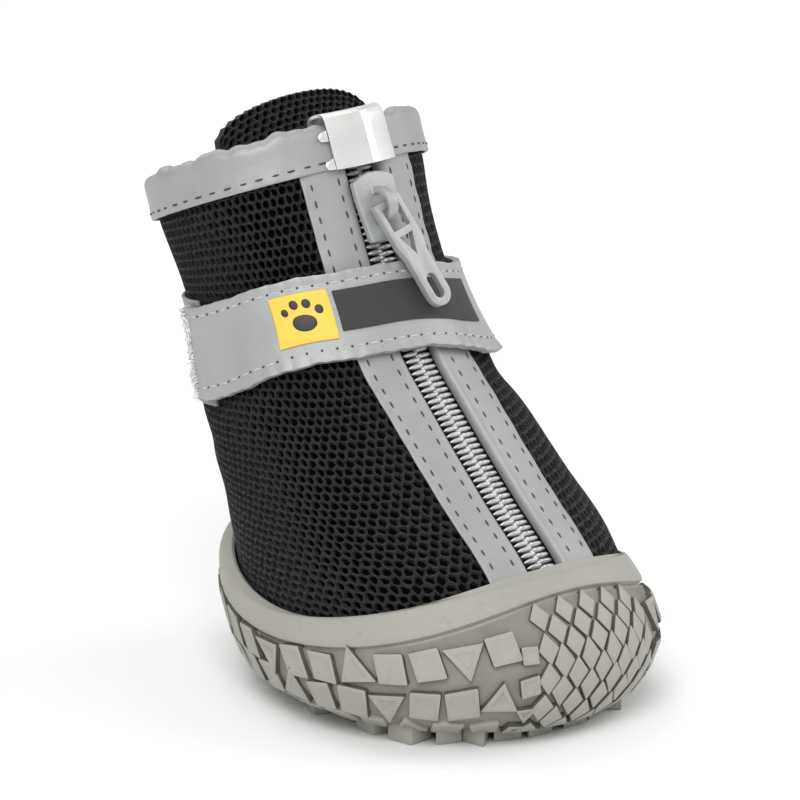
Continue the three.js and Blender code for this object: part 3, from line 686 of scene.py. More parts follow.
def lug(name, outline, root, top, edge, dimple=0.0, dish=0.0, shade_sides=True):
    """A block on this outline in mm, from root to top, with soft edges and a dimple or a dish in its top."""
    alone()
    bpy.ops.mesh.primitive_circle_add(vertices=len(outline), radius=1, fill_type="NGON")
    made = bpy.context.active_object
    made.name = name
    moved(made, np.array([(x, y, root) for x, y in outline]) * MM)

    def raise_block():
        bpy.ops.mesh.extrude_region_move(TRANSFORM_OT_translate=dict(value=(0, 0, (top - root) * MM)))
        bpy.ops.mesh.select_all(action="SELECT")
        bpy.ops.mesh.normals_make_consistent(inside=False)

    def hollow():
        bpy.ops.mesh.inset(thickness=(dimple or 0.62) * MM, depth=0)
        bpy.ops.mesh.inset(thickness=(0.12 if dimple else 0.25) * MM, depth=-(0.4 if dimple else dish) * MM)

    edit(made, raise_block)
    for paint in (rubber_paint, lug_side_shade_paint):
        made.data.materials.append(paint.material)
    # Painted shade: steep sides are painted near black unless shade_sides is off.
    for face in made.data.polygons:
        face.material_index = int(shade_sides and abs(face.normal.z) < 0.5)
    if dimple or dish:
        press(made, lambda face: face.center.z > (top - 0.01) * MM, hollow)
    bevelled(made, edge, 50)
    return made


def copied(piece, name):
    made = piece.copy()
    made.data = piece.data.copy()
    made.name = name
    bpy.context.scene.collection.objects.link(made)
    return made


def turned(points, turn, size=1.0):
    """Points turned by an angle in degrees and sized, both in plan only."""
    c, s = math.cos(math.radians(turn)), math.sin(math.radians(turn))
    x, y, z = points.T
    return np.stack([(x * c - y * s) * size, (x * s + y * c) * size, z], axis=1)


def wrapped(piece, form, level, angle, turn=0.0, size=1.0, lift=0.0):
    """Presses a copy of a flat piece onto a form at a level and an angle in degrees."""
    made = copied(piece, piece.name)
    points = turned(points_of(piece), turn, size) / MM
    at_level, at_angle = arrays(level, math.radians(angle))
    step = 0.01
    around = form.surface(at_level, at_angle + step) - form.surface(at_level, at_angle - step)
    upwards = form.surface(at_level + step, at_angle) - form.surface(at_level - step, at_angle)
    x, y, z = points.T
    to_angle = x / (np.linalg.norm(around) / step / 2)
    to_level = y / (np.linalg.norm(upwards) / step / 2)
    moved(made, form.place(level + to_level, at_angle[0] + to_angle, z + lift))
    return made


def grounded(piece, x, y, turn=0.0, size=1.0):
    """Puts a copy of a flat block upside down on the bottom."""
    made = copied(piece, piece.name)
    points = turned(points_of(piece), turn, size)
    points[:, 0] += x * MM
    points[:, 1] += y * MM
    points[:, 2] = -points[:, 2]
    moved(made, points)
    return made


def joined(name, pieces):
    """Joins pieces into the first of them."""
    alone()
    for piece in pieces:
        piece.select_set(True)
    bpy.context.view_layer.objects.active = pieces[0]
    bpy.ops.object.join()
    pieces[0].name = name
    edit(pieces[0], lambda: bpy.ops.mesh.normals_make_consistent(inside=False))
    return pieces[0]


def discard(*pieces):
    for piece in pieces:
        bpy.data.objects.remove(piece, do_unlink=True)


# Wall lugs with and without painted shade on their steep sides; the sunk lowest row goes without.
wall_lugs = {}
for shade_sides in (True, False):
    square = regular(4, WALL_SQUARE * math.sqrt(0.5), 45)
    wall_lugs[shade_sides] = (
        lug("wall_square", square, -LUG_ROOT, WALL_LUG, 0.4, dish=0.16, shade_sides=shade_sides),
        lug("wall_wedge", regular(3, WALL_WEDGE, 90), -LUG_ROOT, WALL_LUG, 0.35, dimple=0.75, shade_sides=shade_sides),
    )
flank = []
for row in FLANK_ROWS:
    wall_square, wall_wedge = wall_lugs[row["lift"] == 0]
    for side in (1, -1):
        # The scales reach further round the toe's left, so the rows start one lug later there.
        for i in range(1 if side > 0 else 0, row["count"]):
            at = side * (row["first"] + i * row["step"])
            spin = side * (row["spin"] if i % 2 else -row["spin"])
            size = row["size"] / WALL_SQUARE * (1 + 0.05 * math.sin(i * 2.3 + side))
            level = risen(row["level"], math.radians(at))
            if i % 3 == row["wedge"]:
                spin = 180 if i % 2 else spin
                flank.append(wrapped(wall_wedge, sole_form, level, at, spin, size * 1.06, row["lift"]))
            else:
                flank.append(wrapped(wall_square, sole_form, level, at, spin, size, row["lift"]))
wall_square, wall_wedge = wall_lugs[True]
for level, at, turn, size in TOE_SQUARES:
    flank.append(wrapped(wall_square, sole_form, level, at, turn, size / WALL_SQUARE))
flank.append(wrapped(wall_wedge, sole_form, 0.41, -18.6, 180, 0.62))
discard(*wall_lugs[True], *wall_lugs[False])
flank = joined("outsole_flank_lugs", flank)

# The toe's scales: how far they reach round each side of the front line, and the height of the toe's wall.
TOE_ROWS = 10
TOE_RIGHT = -7.6
TOE_LEFT = 13.6
TOE_WALL = 36
scales = []
level = 0.2
for row in range(TOE_ROWS):
    share = row / (TOE_ROWS - 1)
    width = 4.7 - 0.8 * share
    stagger = 0.5 * (row % 2)
    outline = rhomb(width * 0.44, width * 0.62)
    diamond = lug("toe_scale", outline, -LUG_ROOT, 0.55 + 0.5 * (1 - share), 0.3 * width / 4)
    for column in range(math.ceil(TOE_RIGHT / width - stagger), math.floor(TOE_LEFT / width - stagger) + 1):
        angle = sole_form.angle_at(level, (column + stagger) * width)[0]
        lower = TOE_RISE * share * (1 - math.exp(-(angle / 0.6) ** 2))
        scales.append(wrapped(diamond, sole_form, level - lower, math.degrees(angle)))
    discard(diamond)
    level += width * 0.6 / TOE_WALL
toe = joined("outsole_toe_scales", scales)

bottom = []
for side in (1, -1):
    for x, y, size, turn in BOTTOM_SQUARES:
        shade_sides = math.hypot(x, y) < SIDE_SHADE_WITHIN
        outline = regular(4, size * math.sqrt(0.5), 45)
        block = lug("block", outline, BOTTOM_ROOT, 0, 0.35, dish=0.15, shade_sides=shade_sides)
        bottom.append(grounded(block, side * x, y, side * turn))
        discard(block)
    for x, y, size, turn in BOTTOM_TRIANGLES:
        shade_sides = math.hypot(x, y) < SIDE_SHADE_WITHIN
        block = lug("block", regular(3, size, 90), BOTTOM_ROOT, 0, 0.3, dimple=size * 0.22, shade_sides=shade_sides)
        bottom.append(grounded(block, side * x, y, side * turn))
        discard(block)


def clipped(outline, slope, low, high):
    """The part of an outline where y - slope * |x - its middle| lies between low and high, on each side."""
    middle = sum(x for x, y in outline) / len(outline)
    parts = []
    for side in (1, -1):
        tests = [
            lambda p: (p[0] - middle) * side - 0.12,
            lambda p: p[1] - slope * (p[0] - middle) * side - low,
            lambda p: high - p[1] + slope * (p[0] - middle) * side,
        ]
        part = list(outline)
        for test in tests:
            kept = []
            for a, b in zip(part, part[1:] + part[:1]):
                da, db = test(a), test(b)
                if da >= 0:
                    kept.append(a)
                if (da >= 0) != (db >= 0):
                    f = da / (da - db)
                    kept.append((a[0] + (b[0] - a[0]) * f, a[1] + (b[1] - a[1]) * f))
            part = kept
        if len(part) > 2:
            parts.append(part)
    return parts


def area(outline):
    sides = zip(outline, outline[1:] + outline[:1])
    return abs(sum(a[0] * b[1] - b[0] * a[1] for a, b in sides)) / 2


for outline in RIBBED_PADS:
    pad = lug("pad", [(x, -y) for x, y in outline], BOTTOM_ROOT, -0.75, 0.2)
    moved(pad, points_of(pad) * (1, -1, -1))
    bottom.append(pad)
    low = min(y for x, y in outline) - 1
    while low < max(y for x, y in outline) + 6:
        for part in clipped(outline, RIB_SLOPE, low, low + RIB_WIDTH):
            if area(part) > RIB_SMALLEST:
                rib = lug("rib", part, -1.2, 0, 0.12)
                moved(rib, points_of(rib) * (1, 1, -1))
                bottom.append(rib)
        low += RIB_PITCH
ring_pad = lug("pad", RING_PAD, BOTTOM_ROOT, -0.5, 0.3)
bottom.append(grounded(ring_pad, 0, 0))
discard(ring_pad)
alone()
bpy.ops.mesh.primitive_torus_add(location=(9.6 * MM, -18.2 * MM, 0.45 * MM), major_radius=3.3 * MM,
                                 minor_radius=0.42 * MM, major_segments=40, minor_segments=10)
bpy.ops.object.transform_apply()
bottom.append(bpy.context.active_object)
centre_pad = lug("pad", CENTRE_PAD, BOTTOM_ROOT, 0, 0.3, dish=0.15)
bottom.append(grounded(centre_pad, 0, 0))
discard(centre_pad)
stud = lug("stud", regular(6, 2.35, 30), BOTTOM_ROOT, 0, 0.3, dish=0.2)
bottom += [grounded(stud, 0, y) for y in STUD_PLACES]
discard(stud)
scale = lug("heel_scale", rhomb(1.85, 1.85), BOTTOM_ROOT, 0, 0.25)
for row in range(6):
    columns = 2 if row % 2 else 3
    for column in range(columns):
        bottom.append(grounded(scale, (column - (columns - 1) / 2) * 4.3, 16.6 + row * 2.15))
discard(scale)
bottom = joined("outsole_bottom_tread", bottom)

HEEL_WALL = 44
heel = []
level = 0.22
for row in range(9):
    width = 3.9 - 0.16 * row
    diamond = lug("heel_scale", rhomb(width * 0.43, width * 0.52), -LUG_ROOT, 1.1, 0.2)
    columns = 4 if row % 2 else 3
    for column in range(columns):
        x = (column - (columns - 1) / 2) * width
        heel.append(wrapped(diamond, sole_form, level, 180 + math.degrees(sole_form.angle_at(level, x)[0])))
    discard(diamond)
    level += width * 0.55 / HEEL_WALL
heel = joined("outsole_heel_scales", heel)

for piece in (flank, toe, bottom, heel):
    smooth(piece, 45)
    finished(piece, None)

# ------------------------------------------------------------ insole
# A die-cut pad of charcoal foam with a brushed top. It is dropped loose onto the cup's floor inside the
# mesh, once the upper is glued in.


def copy_of(node, name, edge, angle=40):
    """A moulded or cast part: its plain shape with the edges softened."""
    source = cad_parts[node]
    made = bpy.data.objects.new(name, source.data.copy())
    bpy.context.scene.collection.objects.link(made)
    made.data.transform(source.matrix_world)
    edit(made,
         lambda: bpy.ops.mesh.remove_doubles(threshold=1e-6),
         lambda: bpy.ops.mesh.dissolve_limited(angle_limit=math.radians(1)),
         lambda: bpy.ops.mesh.normals_make_consistent(inside=False))
    bevelled(made, edge, angle, segments=3)
    smooth(made, 50)
    return made


insole = copy_of("insole", "insole", 0.5, 60)
foam_paint = Paint("brushed foam", Roughness=0.9, Sheen_Weight=0.3)
foam_nap = foam_paint.noise(0.6, 4)
foam_paint.tint(foam_nap, (0.012, 0.012, 0.013), (0.045, 0.045, 0.048))
foam_paint.bump(foam_nap, 0.2)
finished(insole, foam_paint)
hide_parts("insole")

# ------------------------------------------------------------ tongue
# The gusset of the same mesh sewn in behind the zip, which rises above the collar in a dome and leans
# back into the opening.

TONGUE_FOOT = 0.3
TONGUE_PEAK = 1.105
TONGUE_SHOULDER = 0.975
TONGUE_HALF = 15.0
TONGUE_BEND = 19.5
TONGUE_LEAN = 5.0

tongue = knitted("tongue", 22, 52, 1.4, 0.8)
across, up, out = shares(tongue)
side = 2 * across - 1
top = TONGUE_SHOULDER + (TONGUE_PEAK - TONGUE_SHOULDER) * np.sqrt(np.maximum(0, 1 - side ** 2))
level = TONGUE_FOOT + up * (top - TONGUE_FOOT)
lean = TONGUE_LEAN * np.maximum(0, (level - 0.62) / 0.38) ** 1.4
widen = 0.8 + 0.2 * np.minimum(1, (level - TONGUE_FOOT) / 0.3)
points = plain_last.place(level, 0, out - 3.3 - lean)
points[:, 0] = TONGUE_HALF * widen * side * MM
points[:, 1] += (points[:, 0] / MM) ** 2 / (2 * TONGUE_BEND) * MM
moved(tongue, points)
edit(tongue, faces_out)
smooth(tongue, 60)
finished(tongue, None)
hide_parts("tongue")

# ------------------------------------------------------------ facings
# Two strips of grey reflective cloth, one each side of the zip, folded into the throat and sewn down
# along both edges from the toe rim up to the collar.

FACING_FOOT = 0.215
FACING_HEAD = 0.922
FACING_WIDE = 10.4
FACING_TAPER = 1.3
FACING_THICK = 0.42
# How far the outer seam lies from the edge, and the inner seam from the middle of the zip.
FACING_MARGIN = 1.25
FACING_SEAM = 4.9
# The facing's cross-section from its outer edge to its fold in the throat: x, and height over the mesh.
FACING_SECTION = [
    (-FACING_WIDE, 0.05), (-4.1, 0.05), (-3.75, 0.02), (-3.5, -0.12), (-3.38, -0.45), (-3.36, -1.3),
]


def sheet(name, columns, rows, shape, thick, edge=0.16):
    """A flat panel laid on a shape and thickened outwards, with its edges rounded."""
    made = panel(name, columns, rows)
    flat = points_of(made) + 0.5
    moved(made, shape(flat[:, 0], flat[:, 1]))
    modified(made, "SOLIDIFY", thickness=thick * MM, offset=1)
    modified(made, "BEVEL", width=edge * MM, segments=2, limit_method="ANGLE", angle_limit=math.radians(55))
    edit(made, faces_out)
    smooth(made, 50)
    return made


def traced(profile, stretch=1.0):
    """The two columns of a cross-section, as a function of the share of the way along it."""
    profile = np.array(profile)
    steps = np.hypot(np.diff(profile[:, 0]) * stretch, np.diff(profile[:, 1]))
    gone = np.concatenate([[0], np.cumsum(steps)]) / np.sum(steps)
    return lambda share: (np.interp(share, gone, profile[:, 0]), np.interp(share, gone, profile[:, 1]))


class Line:
    """A line on a form, along which a straight row of things can be laid."""

    def __init__(self, form, level, angle, out):
        level, angle, out = arrays(level, angle, out)
        self.points = form.place(level, angle, out)
        self.facing = form.normal(level, angle)
        steps = np.linalg.norm(np.diff(self.points, axis=0), axis=1)
        self.at = np.concatenate([[0], np.cumsum(steps)])
        self.ahead = np.gradient(self.points, axis=0)
        self.ahead /= np.linalg.norm(self.ahead, axis=1)[:, None]

    def lay(self, piece):
        """Bends a piece along the line: x goes along it, y to its side and z away from the form."""
        flat = points_of(piece)
        place, ahead, facing = (
            np.stack([np.interp(flat[:, 0], self.at, values[:, k]) for k in range(3)], axis=1)
            for values in (self.points, self.ahead, self.facing)
        )
        moved(piece, place + np.cross(facing, ahead) * flat[:, 1:2] + facing * flat[:, 2:3])


def beads(name, line, pitch, size, offset=(0, 0), dive=0.0, rings=6):
    """A row of like beads along a line: each size mm long, wide and high, with its ends diving down."""
    alone()
    bpy.ops.mesh.primitive_uv_sphere_add(segments=8, ring_count=rings, radius=0.5,
                                         rotation=(0, math.pi / 2, 0))
    made = bpy.context.active_object
    made.name = name
    bpy.ops.object.transform_apply()
    points = points_of(made) * size
    points[:, 2] -= dive * (points[:, 0] / size[0] * 2) ** 2
    count = int(line.at[-1] / MM / pitch)
    points[:, 0] += (line.at[-1] / MM - (count - 1) * pitch) / 2 + offset[0]
    points[:, 1] += offset[1]
    moved(made, points * MM)
    repeated(made, count, pitch)
    line.lay(made)
    smooth(made, 60)
    return made


def sewn(name, line, paint, pitch=2.5, length=1.75, thick=0.34):
    """A row of lock stitches: short runs of thread that dive into the cloth at both ends."""
    return finished(beads(name, line, pitch, (length, thick, thick), dive=0.26), paint)


def cloth_paint(name, dark, light):
    """Grey cloth coated with glass beads: a fine weave, a slight sparkle and a few soft marks."""
    paint = Paint(name, Metallic=0.25, Specular_IOR_Level=0.5)
    place = paint.where()
    marks, fine = paint.noise(6, 3, place), paint.noise(0.28, 2, place)
    weave = paint.node("ShaderNodeTexVoronoi", {"feature": "F1"}, {"Vector": place, "Scale": 3.2})
    paint.tint(marks * 0.7 + fine * 0.3, dark, light)
    paint.feed("Roughness", 0.36 + 0.22 * marks)
    paint.bump(weave * 0.15 + fine * 0.1 + paint.noise(4.5, 1.5, place), 0.16)
    return paint


reflective_paint = cloth_paint("reflective cloth", (0.285, 0.295, 0.288), (0.40, 0.412, 0.402))
dark_thread = Paint("dark thread", Roughness=0.6)
dark_thread.tint(dark_thread.noise(0.4), (0.028, 0.027, 0.026), (0.07, 0.067, 0.063))
pale_thread = Paint("pale thread", Roughness=0.55)
pale_thread.tint(pale_thread.noise(0.4), (0.36, 0.36, 0.35), (0.66, 0.66, 0.64))

section = np.array(FACING_SECTION)
for side, word in ((-1, "right"), (1, "left")):
    facing_run = traced(section if side < 0 else section[::-1] * (-1, 1))

    def facing_shape(u, v):
        level = FACING_FOOT + (FACING_HEAD - FACING_FOOT) * v
        x, out = facing_run(u)
        x = x - np.sign(x) * (1 - v) * FACING_TAPER * np.clip((np.abs(x) - 4.5) / 4, 0, 1)
        ripple = 0.09 * np.sin(v * 95) * np.clip((np.abs(x) - 8.2) / 2, 0, 1)
        return last.place(level, last.angle_at(level, x), out + ripple)

    facing = sheet("facing_" + word, 26, 90, facing_shape, FACING_THICK)
    finished(facing, reflective_paint)
    run_up = np.linspace(FACING_FOOT + 0.012, FACING_HEAD - 0.01, 120)
    narrower = FACING_TAPER * (FACING_HEAD - run_up) / (FACING_HEAD - FACING_FOOT)
    for edge, x in (("outer", FACING_WIDE - FACING_MARGIN - narrower), ("inner", FACING_SEAM)):
        line = Line(last, run_up, last.angle_at(run_up, side * x), 0.05 + FACING_THICK)
        sewn("facing_" + word + "_" + edge + "_stitches", line, dark_thread)

# ------------------------------------------------------------ zip
# A number five coil zip: black woven tape behind the throat, and two rows of silver nylon coils meshed
# together down its middle, each coil a short bar of thread over a cord.

ZIP_FOOT = 0.2
ZIP_HEAD = 0.93
TEETH_PITCH = 1.02
# A coil's bar and the loop at its tip: long, wide and high in mm.
COIL_BAR = (0.76, 2.9, 1.1)
COIL_LOOP = (0.84, 0.75, 1.3)

zip_tape = sheet("zip_tape", 12, 60, lambda u, v: plain_last.place(
    0.19 + v * 0.705, plain_last.angle_at(0.19 + v * 0.705, (u - 0.5) * 12.4), -2.55), 0.55)
tape_paint = Paint("black zip tape", Roughness=0.75)
tape_place = tape_paint.where()
tape_rib = (tape_paint.axis(tape_place, 2) * 9.0).sine()
tape_paint.tint(tape_rib * 0.5 + 0.5, (0.006, 0.006, 0.007), (0.022, 0.022, 0.024))
tape_paint.bump(tape_rib, 0.05)
finished(zip_tape, tape_paint)
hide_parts("zip_tape")

coil_paint = Paint("silver coil", Metallic=0.55, Specular_IOR_Level=0.6)
coil_wear = coil_paint.noise(1.5)
coil_paint.tint(coil_wear, 0.42, 0.74)
coil_paint.feed("Roughness", 0.25 + 0.2 * coil_wear)
zip_line = Line(plain_last, np.linspace(ZIP_FOOT, ZIP_HEAD, 160), 0.0, -0.95)
coils = []
for side in (-1, 1):
    shift = side * TEETH_PITCH / 4
    coils.append(beads("coils", zip_line, TEETH_PITCH, COIL_BAR, (shift, side * 1.05), rings=8))
    coils.append(beads("loops", zip_line, TEETH_PITCH, COIL_LOOP, (shift, side * 0.35), rings=6))
chain = joined("zip_chain", coils)
finished(chain, coil_paint)
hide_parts("zip_chain")
cord_paint = Paint("coil cord", Roughness=0.5)
cord_paint.tint(cord_paint.noise(0.8), 0.03, 0.09)
cord = beads("zip_cord", zip_line, 0.8, (1.3, 1.7, 0.9), rings=6)
moved(cord, points_of(cord) - zip_line.facing[80] * 0.35 * MM)
finished(cord, cord_paint)

# ------------------------------------------------------------ binding
# A strip of the reflective cloth folded over the raw top edge from one side of the zip round to the
# other, and sewn through near its lower edge; its top edge wavers a little.

BINDING_LOW = 0.912
BINDING_THICK = 0.55
# The fold over the edge: level, and height over the mesh's outer face.
BINDING_FOLD = [
    (BINDING_LOW, 0.5), (0.935, 0.42), (0.965, 0.32), (0.995, 0.3), (1.004, 0.2), (1.009, -0.1),
    (1.010, -0.75), (1.009, -1.4), (1.004, -1.75), (0.995, -1.85), (0.96, -1.85), (0.925, -1.85),
]
BINDING_SEAM = 0.929
over_edge = traced(BINDING_FOLD, LAST_LENGTH)


def binding_shape(u, v):
    level, out = over_edge(v)
    start = last.angle_at(level, THROAT_HALF + 0.4)
    angle = start + (2 * math.pi - 2 * start) * u
    waver = 0.0035 * np.sin(angle * 11 + 1) + 0.0025 * np.sin(angle * 23 + 2) + 0.002 * np.sin(angle * 41)
    level = level + waver * np.clip((level - 0.93) / 0.07, 0, 1)
    pucker = 0.1 * np.sin(u * 160) * np.clip((0.945 - level) / 0.03, 0, 1) * (out > 0)
    return last.place(level, angle, out + pucker)


binding = sheet("collar_binding", 220, 34, binding_shape, BINDING_THICK)
finished(binding, reflective_paint)
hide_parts("collar_binding")
seam_start = last.angle_at(0.91, THROAT_HALF + 1.5)[0]
seam = Line(last, BINDING_SEAM, np.linspace(seam_start, 2 * math.pi - seam_start, 300), 0.46 + BINDING_THICK)
sewn("collar_binding_stitches", seam, dark_thread)

# ------------------------------------------------------------ clip
# A strip of bright steel bent over the collar at the head of the zip, pressed flat in two facets, with
# its corners turned in at one end.

CLIP_HALF = 5.5
CLIP_RIDGE = 0.7
CLIP_FOLD = [
    (0.905, 1.25), (0.95, 1.2), (1.0, 1.2), (1.018, 1.1), (1.027, 0.5), (1.028, -0.75), (1.026, -2.2),
    (1.015, -2.6), (1.0, -2.7), (0.93, -2.7),
]
# Where the facets begin and end across the clip, and how far each place stands off it, in mm.
CLIP_BREAKS = [-CLIP_HALF, CLIP_RIDGE - 0.3, CLIP_RIDGE, CLIP_RIDGE + 0.3, CLIP_HALF]
CLIP_STANDS = [0.15, 1.3, 0.3, 1.25, -0.1]
over_collar = traced(CLIP_FOLD, LAST_LENGTH)


def clip_shape(u, v):
    """Two flat facets that meet in a ridge, pressed over the collar."""
    level, out = over_collar(v)
    x = np.interp(u, [0, 0.5, 0.56, 0.62, 1], CLIP_BREAKS)
    facet = np.interp(x, CLIP_BREAKS, CLIP_STANDS)
    ridge = np.cos(plain_last.angle_at(1.0, x))
    points = plain_last.place(level, plain_last.angle_at(level, 0.0), out + facet * (out > -0.7))
    points[:, 0] = x * MM
    points[:, 1] += (1 - ridge) * 18.0 * MM
    return points


clip = sheet("top_clip", 50, 40, clip_shape, 0.5, 0.14)
smooth(clip, 12)
steel_paint = Paint("bright steel", Metallic=0.85, Specular_IOR_Level=0.6)
steel_place = steel_paint.where()
steel_smear, steel_fine = steel_paint.noise(5, 3, steel_place), steel_paint.noise(0.5, 4, steel_place)
steel_paint.tint(steel_smear, (0.88, 0.88, 0.86), (0.97, 0.97, 0.95))
steel_paint.feed("Roughness", 0.2 + 0.2 * steel_smear)
steel_paint.bump(steel_fine, 0.015)
finished(clip, steel_paint)
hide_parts("top_clip")
tab = lug("clip_tab", [(0.75, -0.9), (0.75, 0.9), (-0.55, 0.45), (-0.75, -0.1), (-0.4, -0.75)], 0, 0.45, 0.12)
tabs = [
    wrapped(tab, plain_last, 0.987, math.degrees(plain_last.angle_at(0.98, -6.1)[0]), lift=1.25),
    wrapped(tab, plain_last, 0.922, math.degrees(plain_last.angle_at(0.91, -6.0)[0]), lift=1.25),
]
discard(tab)
tabs = joined("clip_tabs", tabs)
smooth(tabs, 40)
finished(tabs, steel_paint)

# ------------------------------------------------------------ strap
# A band of the reflective cloth round the ankle, 15 mm wide, its edges sewn and slightly puckered. One
# end is cut straight and frays; the other is rounded and closes over it on hook and loop.

STRAP_LOW = 0.566
STRAP_HIGH = 0.768
STRAP_SAG = 0.058
STRAP_START = math.radians(-104)
STRAP_END = math.radians(216)
STRAP_LIFT = 1.0
STRAP_THICK = 1.0
strap_middle = (STRAP_LOW + STRAP_HIGH) / 2


def eased(value, low, high):
    """0 at low, 1 at high, and smooth between."""
    share = np.clip((value - low) / (high - low), 0, 1)
    return share * share * (3 - 2 * share)


def sagged(level, angle):
    """The strap sits highest on the right of its front, and slips down round the sides and the heel."""
    away = np.abs(np.mod(angle + math.radians(25) + math.pi, 2 * math.pi) - math.pi)
    return level - STRAP_SAG * eased(away, math.radians(14), math.radians(78))


def strap_out(angle):
    """How far the strap's inner face stands off the mesh, lifted by the patch under its two ends."""
    away = np.abs(np.abs(np.mod(angle, 2 * math.pi)) - math.radians(236))
    return STRAP_LIFT + 0.4 * eased(away, math.radians(40), math.radians(28))


def swell(angle):
    """The strap's slack, which stands off the mesh here and there."""
    return np.maximum(0, 0.25 * np.sin(angle * 5 + 0.6) + 0.12 * np.sin(angle * 9))


def strap_shape(u, v):
    angle = STRAP_START + (STRAP_END - STRAP_START) * u
    round_end = np.maximum(0, (u - 0.955) / 0.045)
    half = 0.5 * np.sqrt(np.maximum(0.06, 1 - round_end ** 2))
    edge = np.abs(2 * v - 1)
    ripple = 0.0011 * np.sin(angle * 17 + 1) + 0.0006 * np.sin(angle * 31)
    level = strap_middle + (STRAP_HIGH - STRAP_LOW) * (v - 0.5) * 2 * half + ripple * edge
    pucker = 0.1 * np.sin(angle * 55 + np.sign(v - 0.5)) * edge ** 5
    pucker = pucker - 0.15 * np.exp(-((edge - 0.78) / 0.08) ** 2)
    return plain_last.place(sagged(level, angle), angle, strap_out(angle) + pucker + swell(angle))


strap = sheet("strap", 260, 22, strap_shape, STRAP_THICK, 0.3)
strap_paint = cloth_paint("strap cloth", (0.31, 0.32, 0.312), (0.44, 0.452, 0.442))
finished(strap, strap_paint)
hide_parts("strap")


def on_strap(level, angle, lift=0.0):
    """How far the strap's outer face stands off the mesh, in mm."""
    level, angle = arrays(level, angle)
    return strap_out(angle) + STRAP_THICK + swell(angle) + lift


for word, level in (("lower", STRAP_LOW + 0.0245), ("upper", STRAP_HIGH - 0.0245)):
    turn = np.linspace(STRAP_START + 0.05, STRAP_END - 0.35, 300)
    line = Line(plain_last, sagged(level, turn), turn, on_strap(level, turn, -0.08))
    sewn("strap_" + word + "_stitches", line, pale_thread, pitch=2.3, length=1.6)
    needle_holes = beads("strap_" + word + "_holes", line, 2.3, (0.42, 0.38, 0.16), (1.15, 0), rings=4)
    finished(needle_holes, dark_thread)

bend = np.linspace(0, math.pi, 90)
u_angle = STRAP_END - 0.16 - 0.30 * (1 - np.sin(bend))
u_level = strap_middle - 0.078 * np.cos(bend)
u_line = Line(plain_last, sagged(u_level, u_angle), u_angle, on_strap(u_level, u_angle, -0.02))
sewn("strap_end_stitches", u_line, dark_thread, pitch=2.0, length=1.6)

fray = []
random.seed(7)
alone()
bpy.ops.mesh.primitive_torus_add(major_radius=0.5 * MM, minor_radius=0.075 * MM,
                                 major_segments=12, minor_segments=4)
thread_loop = bpy.context.active_object
for i in range(360):
    strand = copied(thread_loop, "fray")
    level = sagged(random.uniform(STRAP_LOW + 0.004, STRAP_HIGH - 0.006), STRAP_START)
    height = strap_out(np.array([STRAP_START])) + random.uniform(0.0, 1.0)
    place = plain_last.place(level, STRAP_START - random.uniform(0.0, 0.055), height)[0]
    strand.rotation_euler = [random.uniform(0, math.pi) for _ in range(3)]
    strand.scale = [random.uniform(0.6, 1.5)] * 3
    strand.location = place
    only(strand)
    bpy.ops.object.transform_apply()
    fray.append(strand)
discard(thread_loop)
fray = joined("strap_fray", fray)
smooth(fray, 60)
fray_paint = Paint("white fray", Roughness=0.6, Sheen_Weight=0.2)
fray_paint.tint(fray_paint.noise(0.8), (0.62, 0.62, 0.61), (0.9, 0.9, 0.89))
finished(fray, fray_paint)

# ------------------------------------------------------------ badge
# A yellow rubber badge with a plain paw print and a black woven label without lettering, both stuck to
# the front of the strap.

BADGE_FROM = math.radians(-56)
BADGE_TO = math.radians(-32.5)
BADGE_LEVELS = (0.61, 0.73)
LABEL_FROM = math.radians(-30.5)
LABEL_TO = math.radians(38)
LABEL_LEVELS = (0.624, 0.722)


def stuck(low, high, start, end):
    def shape(u, v):
        level, angle = low + (high - low) * v, start + (end - start) * u
        return plain_last.place(sagged(level, angle), angle, on_strap(level, angle, 0.02))
    return shape


badge = sheet("badge", 24, 12, stuck(*BADGE_LEVELS, BADGE_FROM, BADGE_TO), 0.35, 0.12)
badge_paint = Paint("yellow badge", Roughness=0.45, Specular_IOR_Level=0.45)
badge_paint.tint(badge_paint.noise(3), (0.84, 0.54, 0.055), (0.93, 0.62, 0.085))
finished(badge, badge_paint)

# The paw: a wide pad and four toes, as x, y, width and height on the badge in mm.
PAW = [
    (0, -1.1, 3.6, 2.7), (-2.35, 0.75, 1.25, 1.7), (-0.85, 1.95, 1.3, 1.8), (0.85, 1.95, 1.3, 1.8),
    (2.35, 0.75, 1.25, 1.7),
]
BADGE_MIDDLE = 0.67
badge_angle = (BADGE_FROM + BADGE_TO) / 2
badge_level = sagged(BADGE_MIDDLE, badge_angle)
badge_out = on_strap(BADGE_MIDDLE, badge_angle, 0.30)[0]
paw = []
for x, y, wide, tall in PAW:
    alone()
    bpy.ops.mesh.primitive_uv_sphere_add(segments=20, ring_count=10, radius=0.5)
    blob = bpy.context.active_object
    blob.name = "paw"
    moved(blob, (points_of(blob) * (wide, tall, 0.4) + (x, y, 0)) * MM)
    paw.append(wrapped(blob, plain_last, badge_level, math.degrees(badge_angle), lift=badge_out))
    discard(blob)
paw = joined("badge_paw", paw)
smooth(paw, 60)
paw_paint = Paint("dark print", Roughness=0.5)
paw_paint.tint(paw_paint.noise(1.5), (0.02, 0.017, 0.014), (0.045, 0.04, 0.034))
finished(paw, paw_paint)

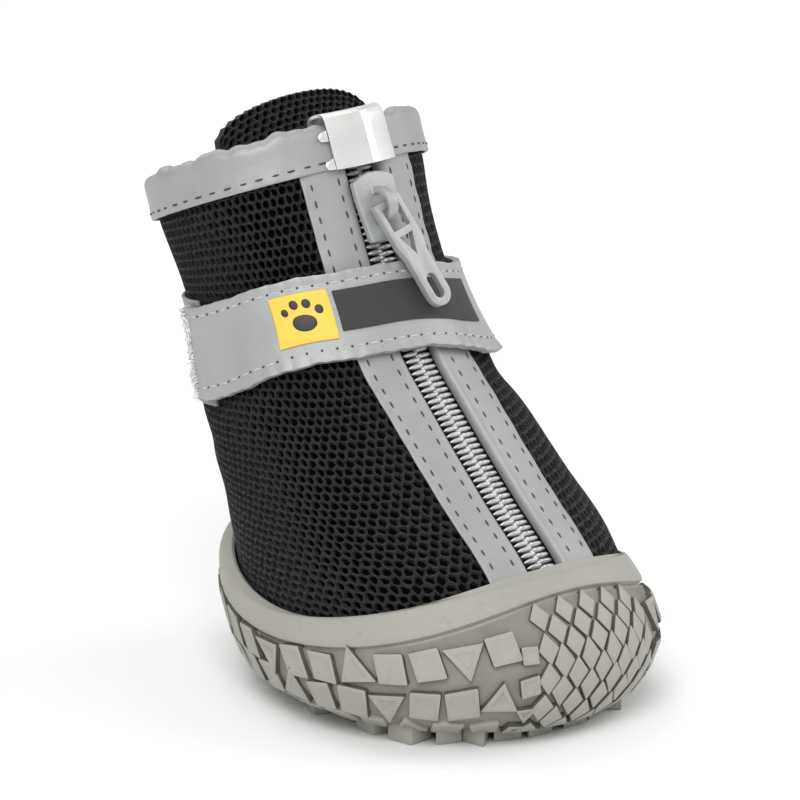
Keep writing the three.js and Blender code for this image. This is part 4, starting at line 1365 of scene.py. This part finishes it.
label = sheet("label", 60, 10, stuck(*LABEL_LEVELS, LABEL_FROM, LABEL_TO), 0.25, 0.1)
label_paint = Paint("black woven label", Roughness=0.6)
label_place = label_paint.where()
warp = (label_paint.axis(label_place, 2) * 14.0).sine()
weft = (label_paint.axis(label_place, 0) * 14.0).sine()
label_rib = warp * weft
label_paint.tint(label_rib * 0.5 + 0.5, 0.022, 0.038)
label_paint.bump(label_rib, 0.03)
finished(label, label_paint)

# ------------------------------------------------------------ patch
# The loop half of the fastening: a rectangle of grey pile sewn to the right of the heel, under both ends
# of the strap.


def patch_shape(u, v):
    level = STRAP_LOW - 0.012 + (STRAP_HIGH - STRAP_LOW + 0.024) * v
    angle = np.radians(209 + 53 * u)
    return plain_last.place(sagged(level, angle), angle, 0.3)


patch = sheet("loop_patch", 40, 26, patch_shape, 0.5, 0.15)
rough = points_of(patch)
rough += np.sin(rough[:, [1, 2, 0]] * 9000) * 0.03 * MM
moved(patch, rough)
pile_paint = Paint("grey loop pile", Roughness=0.9, Sheen_Weight=0.3)
pile = pile_paint.noise(0.35, 4)
pile_paint.tint(pile, (0.17, 0.173, 0.17), (0.36, 0.365, 0.36))
pile_paint.bump(pile, 0.25)
finished(patch, pile_paint)
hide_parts("loop_patch")

# ------------------------------------------------------------ slider
# The zip's slider, die cast and painted grey: a plate wider at its head with an arched bridge, and the
# pull tab that hangs from the bridge, pierced with a square eye, a notch and a slot.

slider = copy_of("slider", "slider", 0.28)
pull = copy_of("pull_tab", "pull_tab", 0.24)
cast_paint = Paint("painted zinc", Metallic=0.35, Specular_IOR_Level=0.5, Coat_Roughness=0.25)
cast_place = cast_paint.where()
cast_wear, cast_pits = cast_paint.noise(2.5, 4, cast_place), cast_paint.noise(0.4, 3, cast_place)
cast_paint.tint(cast_wear, (0.34, 0.35, 0.35), (0.47, 0.48, 0.48))
cast_paint.feed("Roughness", 0.3 + 0.25 * cast_wear)
cast_paint.bump(cast_pits, 0.05)
finished(slider, cast_paint)
finished(pull, cast_paint, "pull")
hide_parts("slider")
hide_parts("pull_tab")
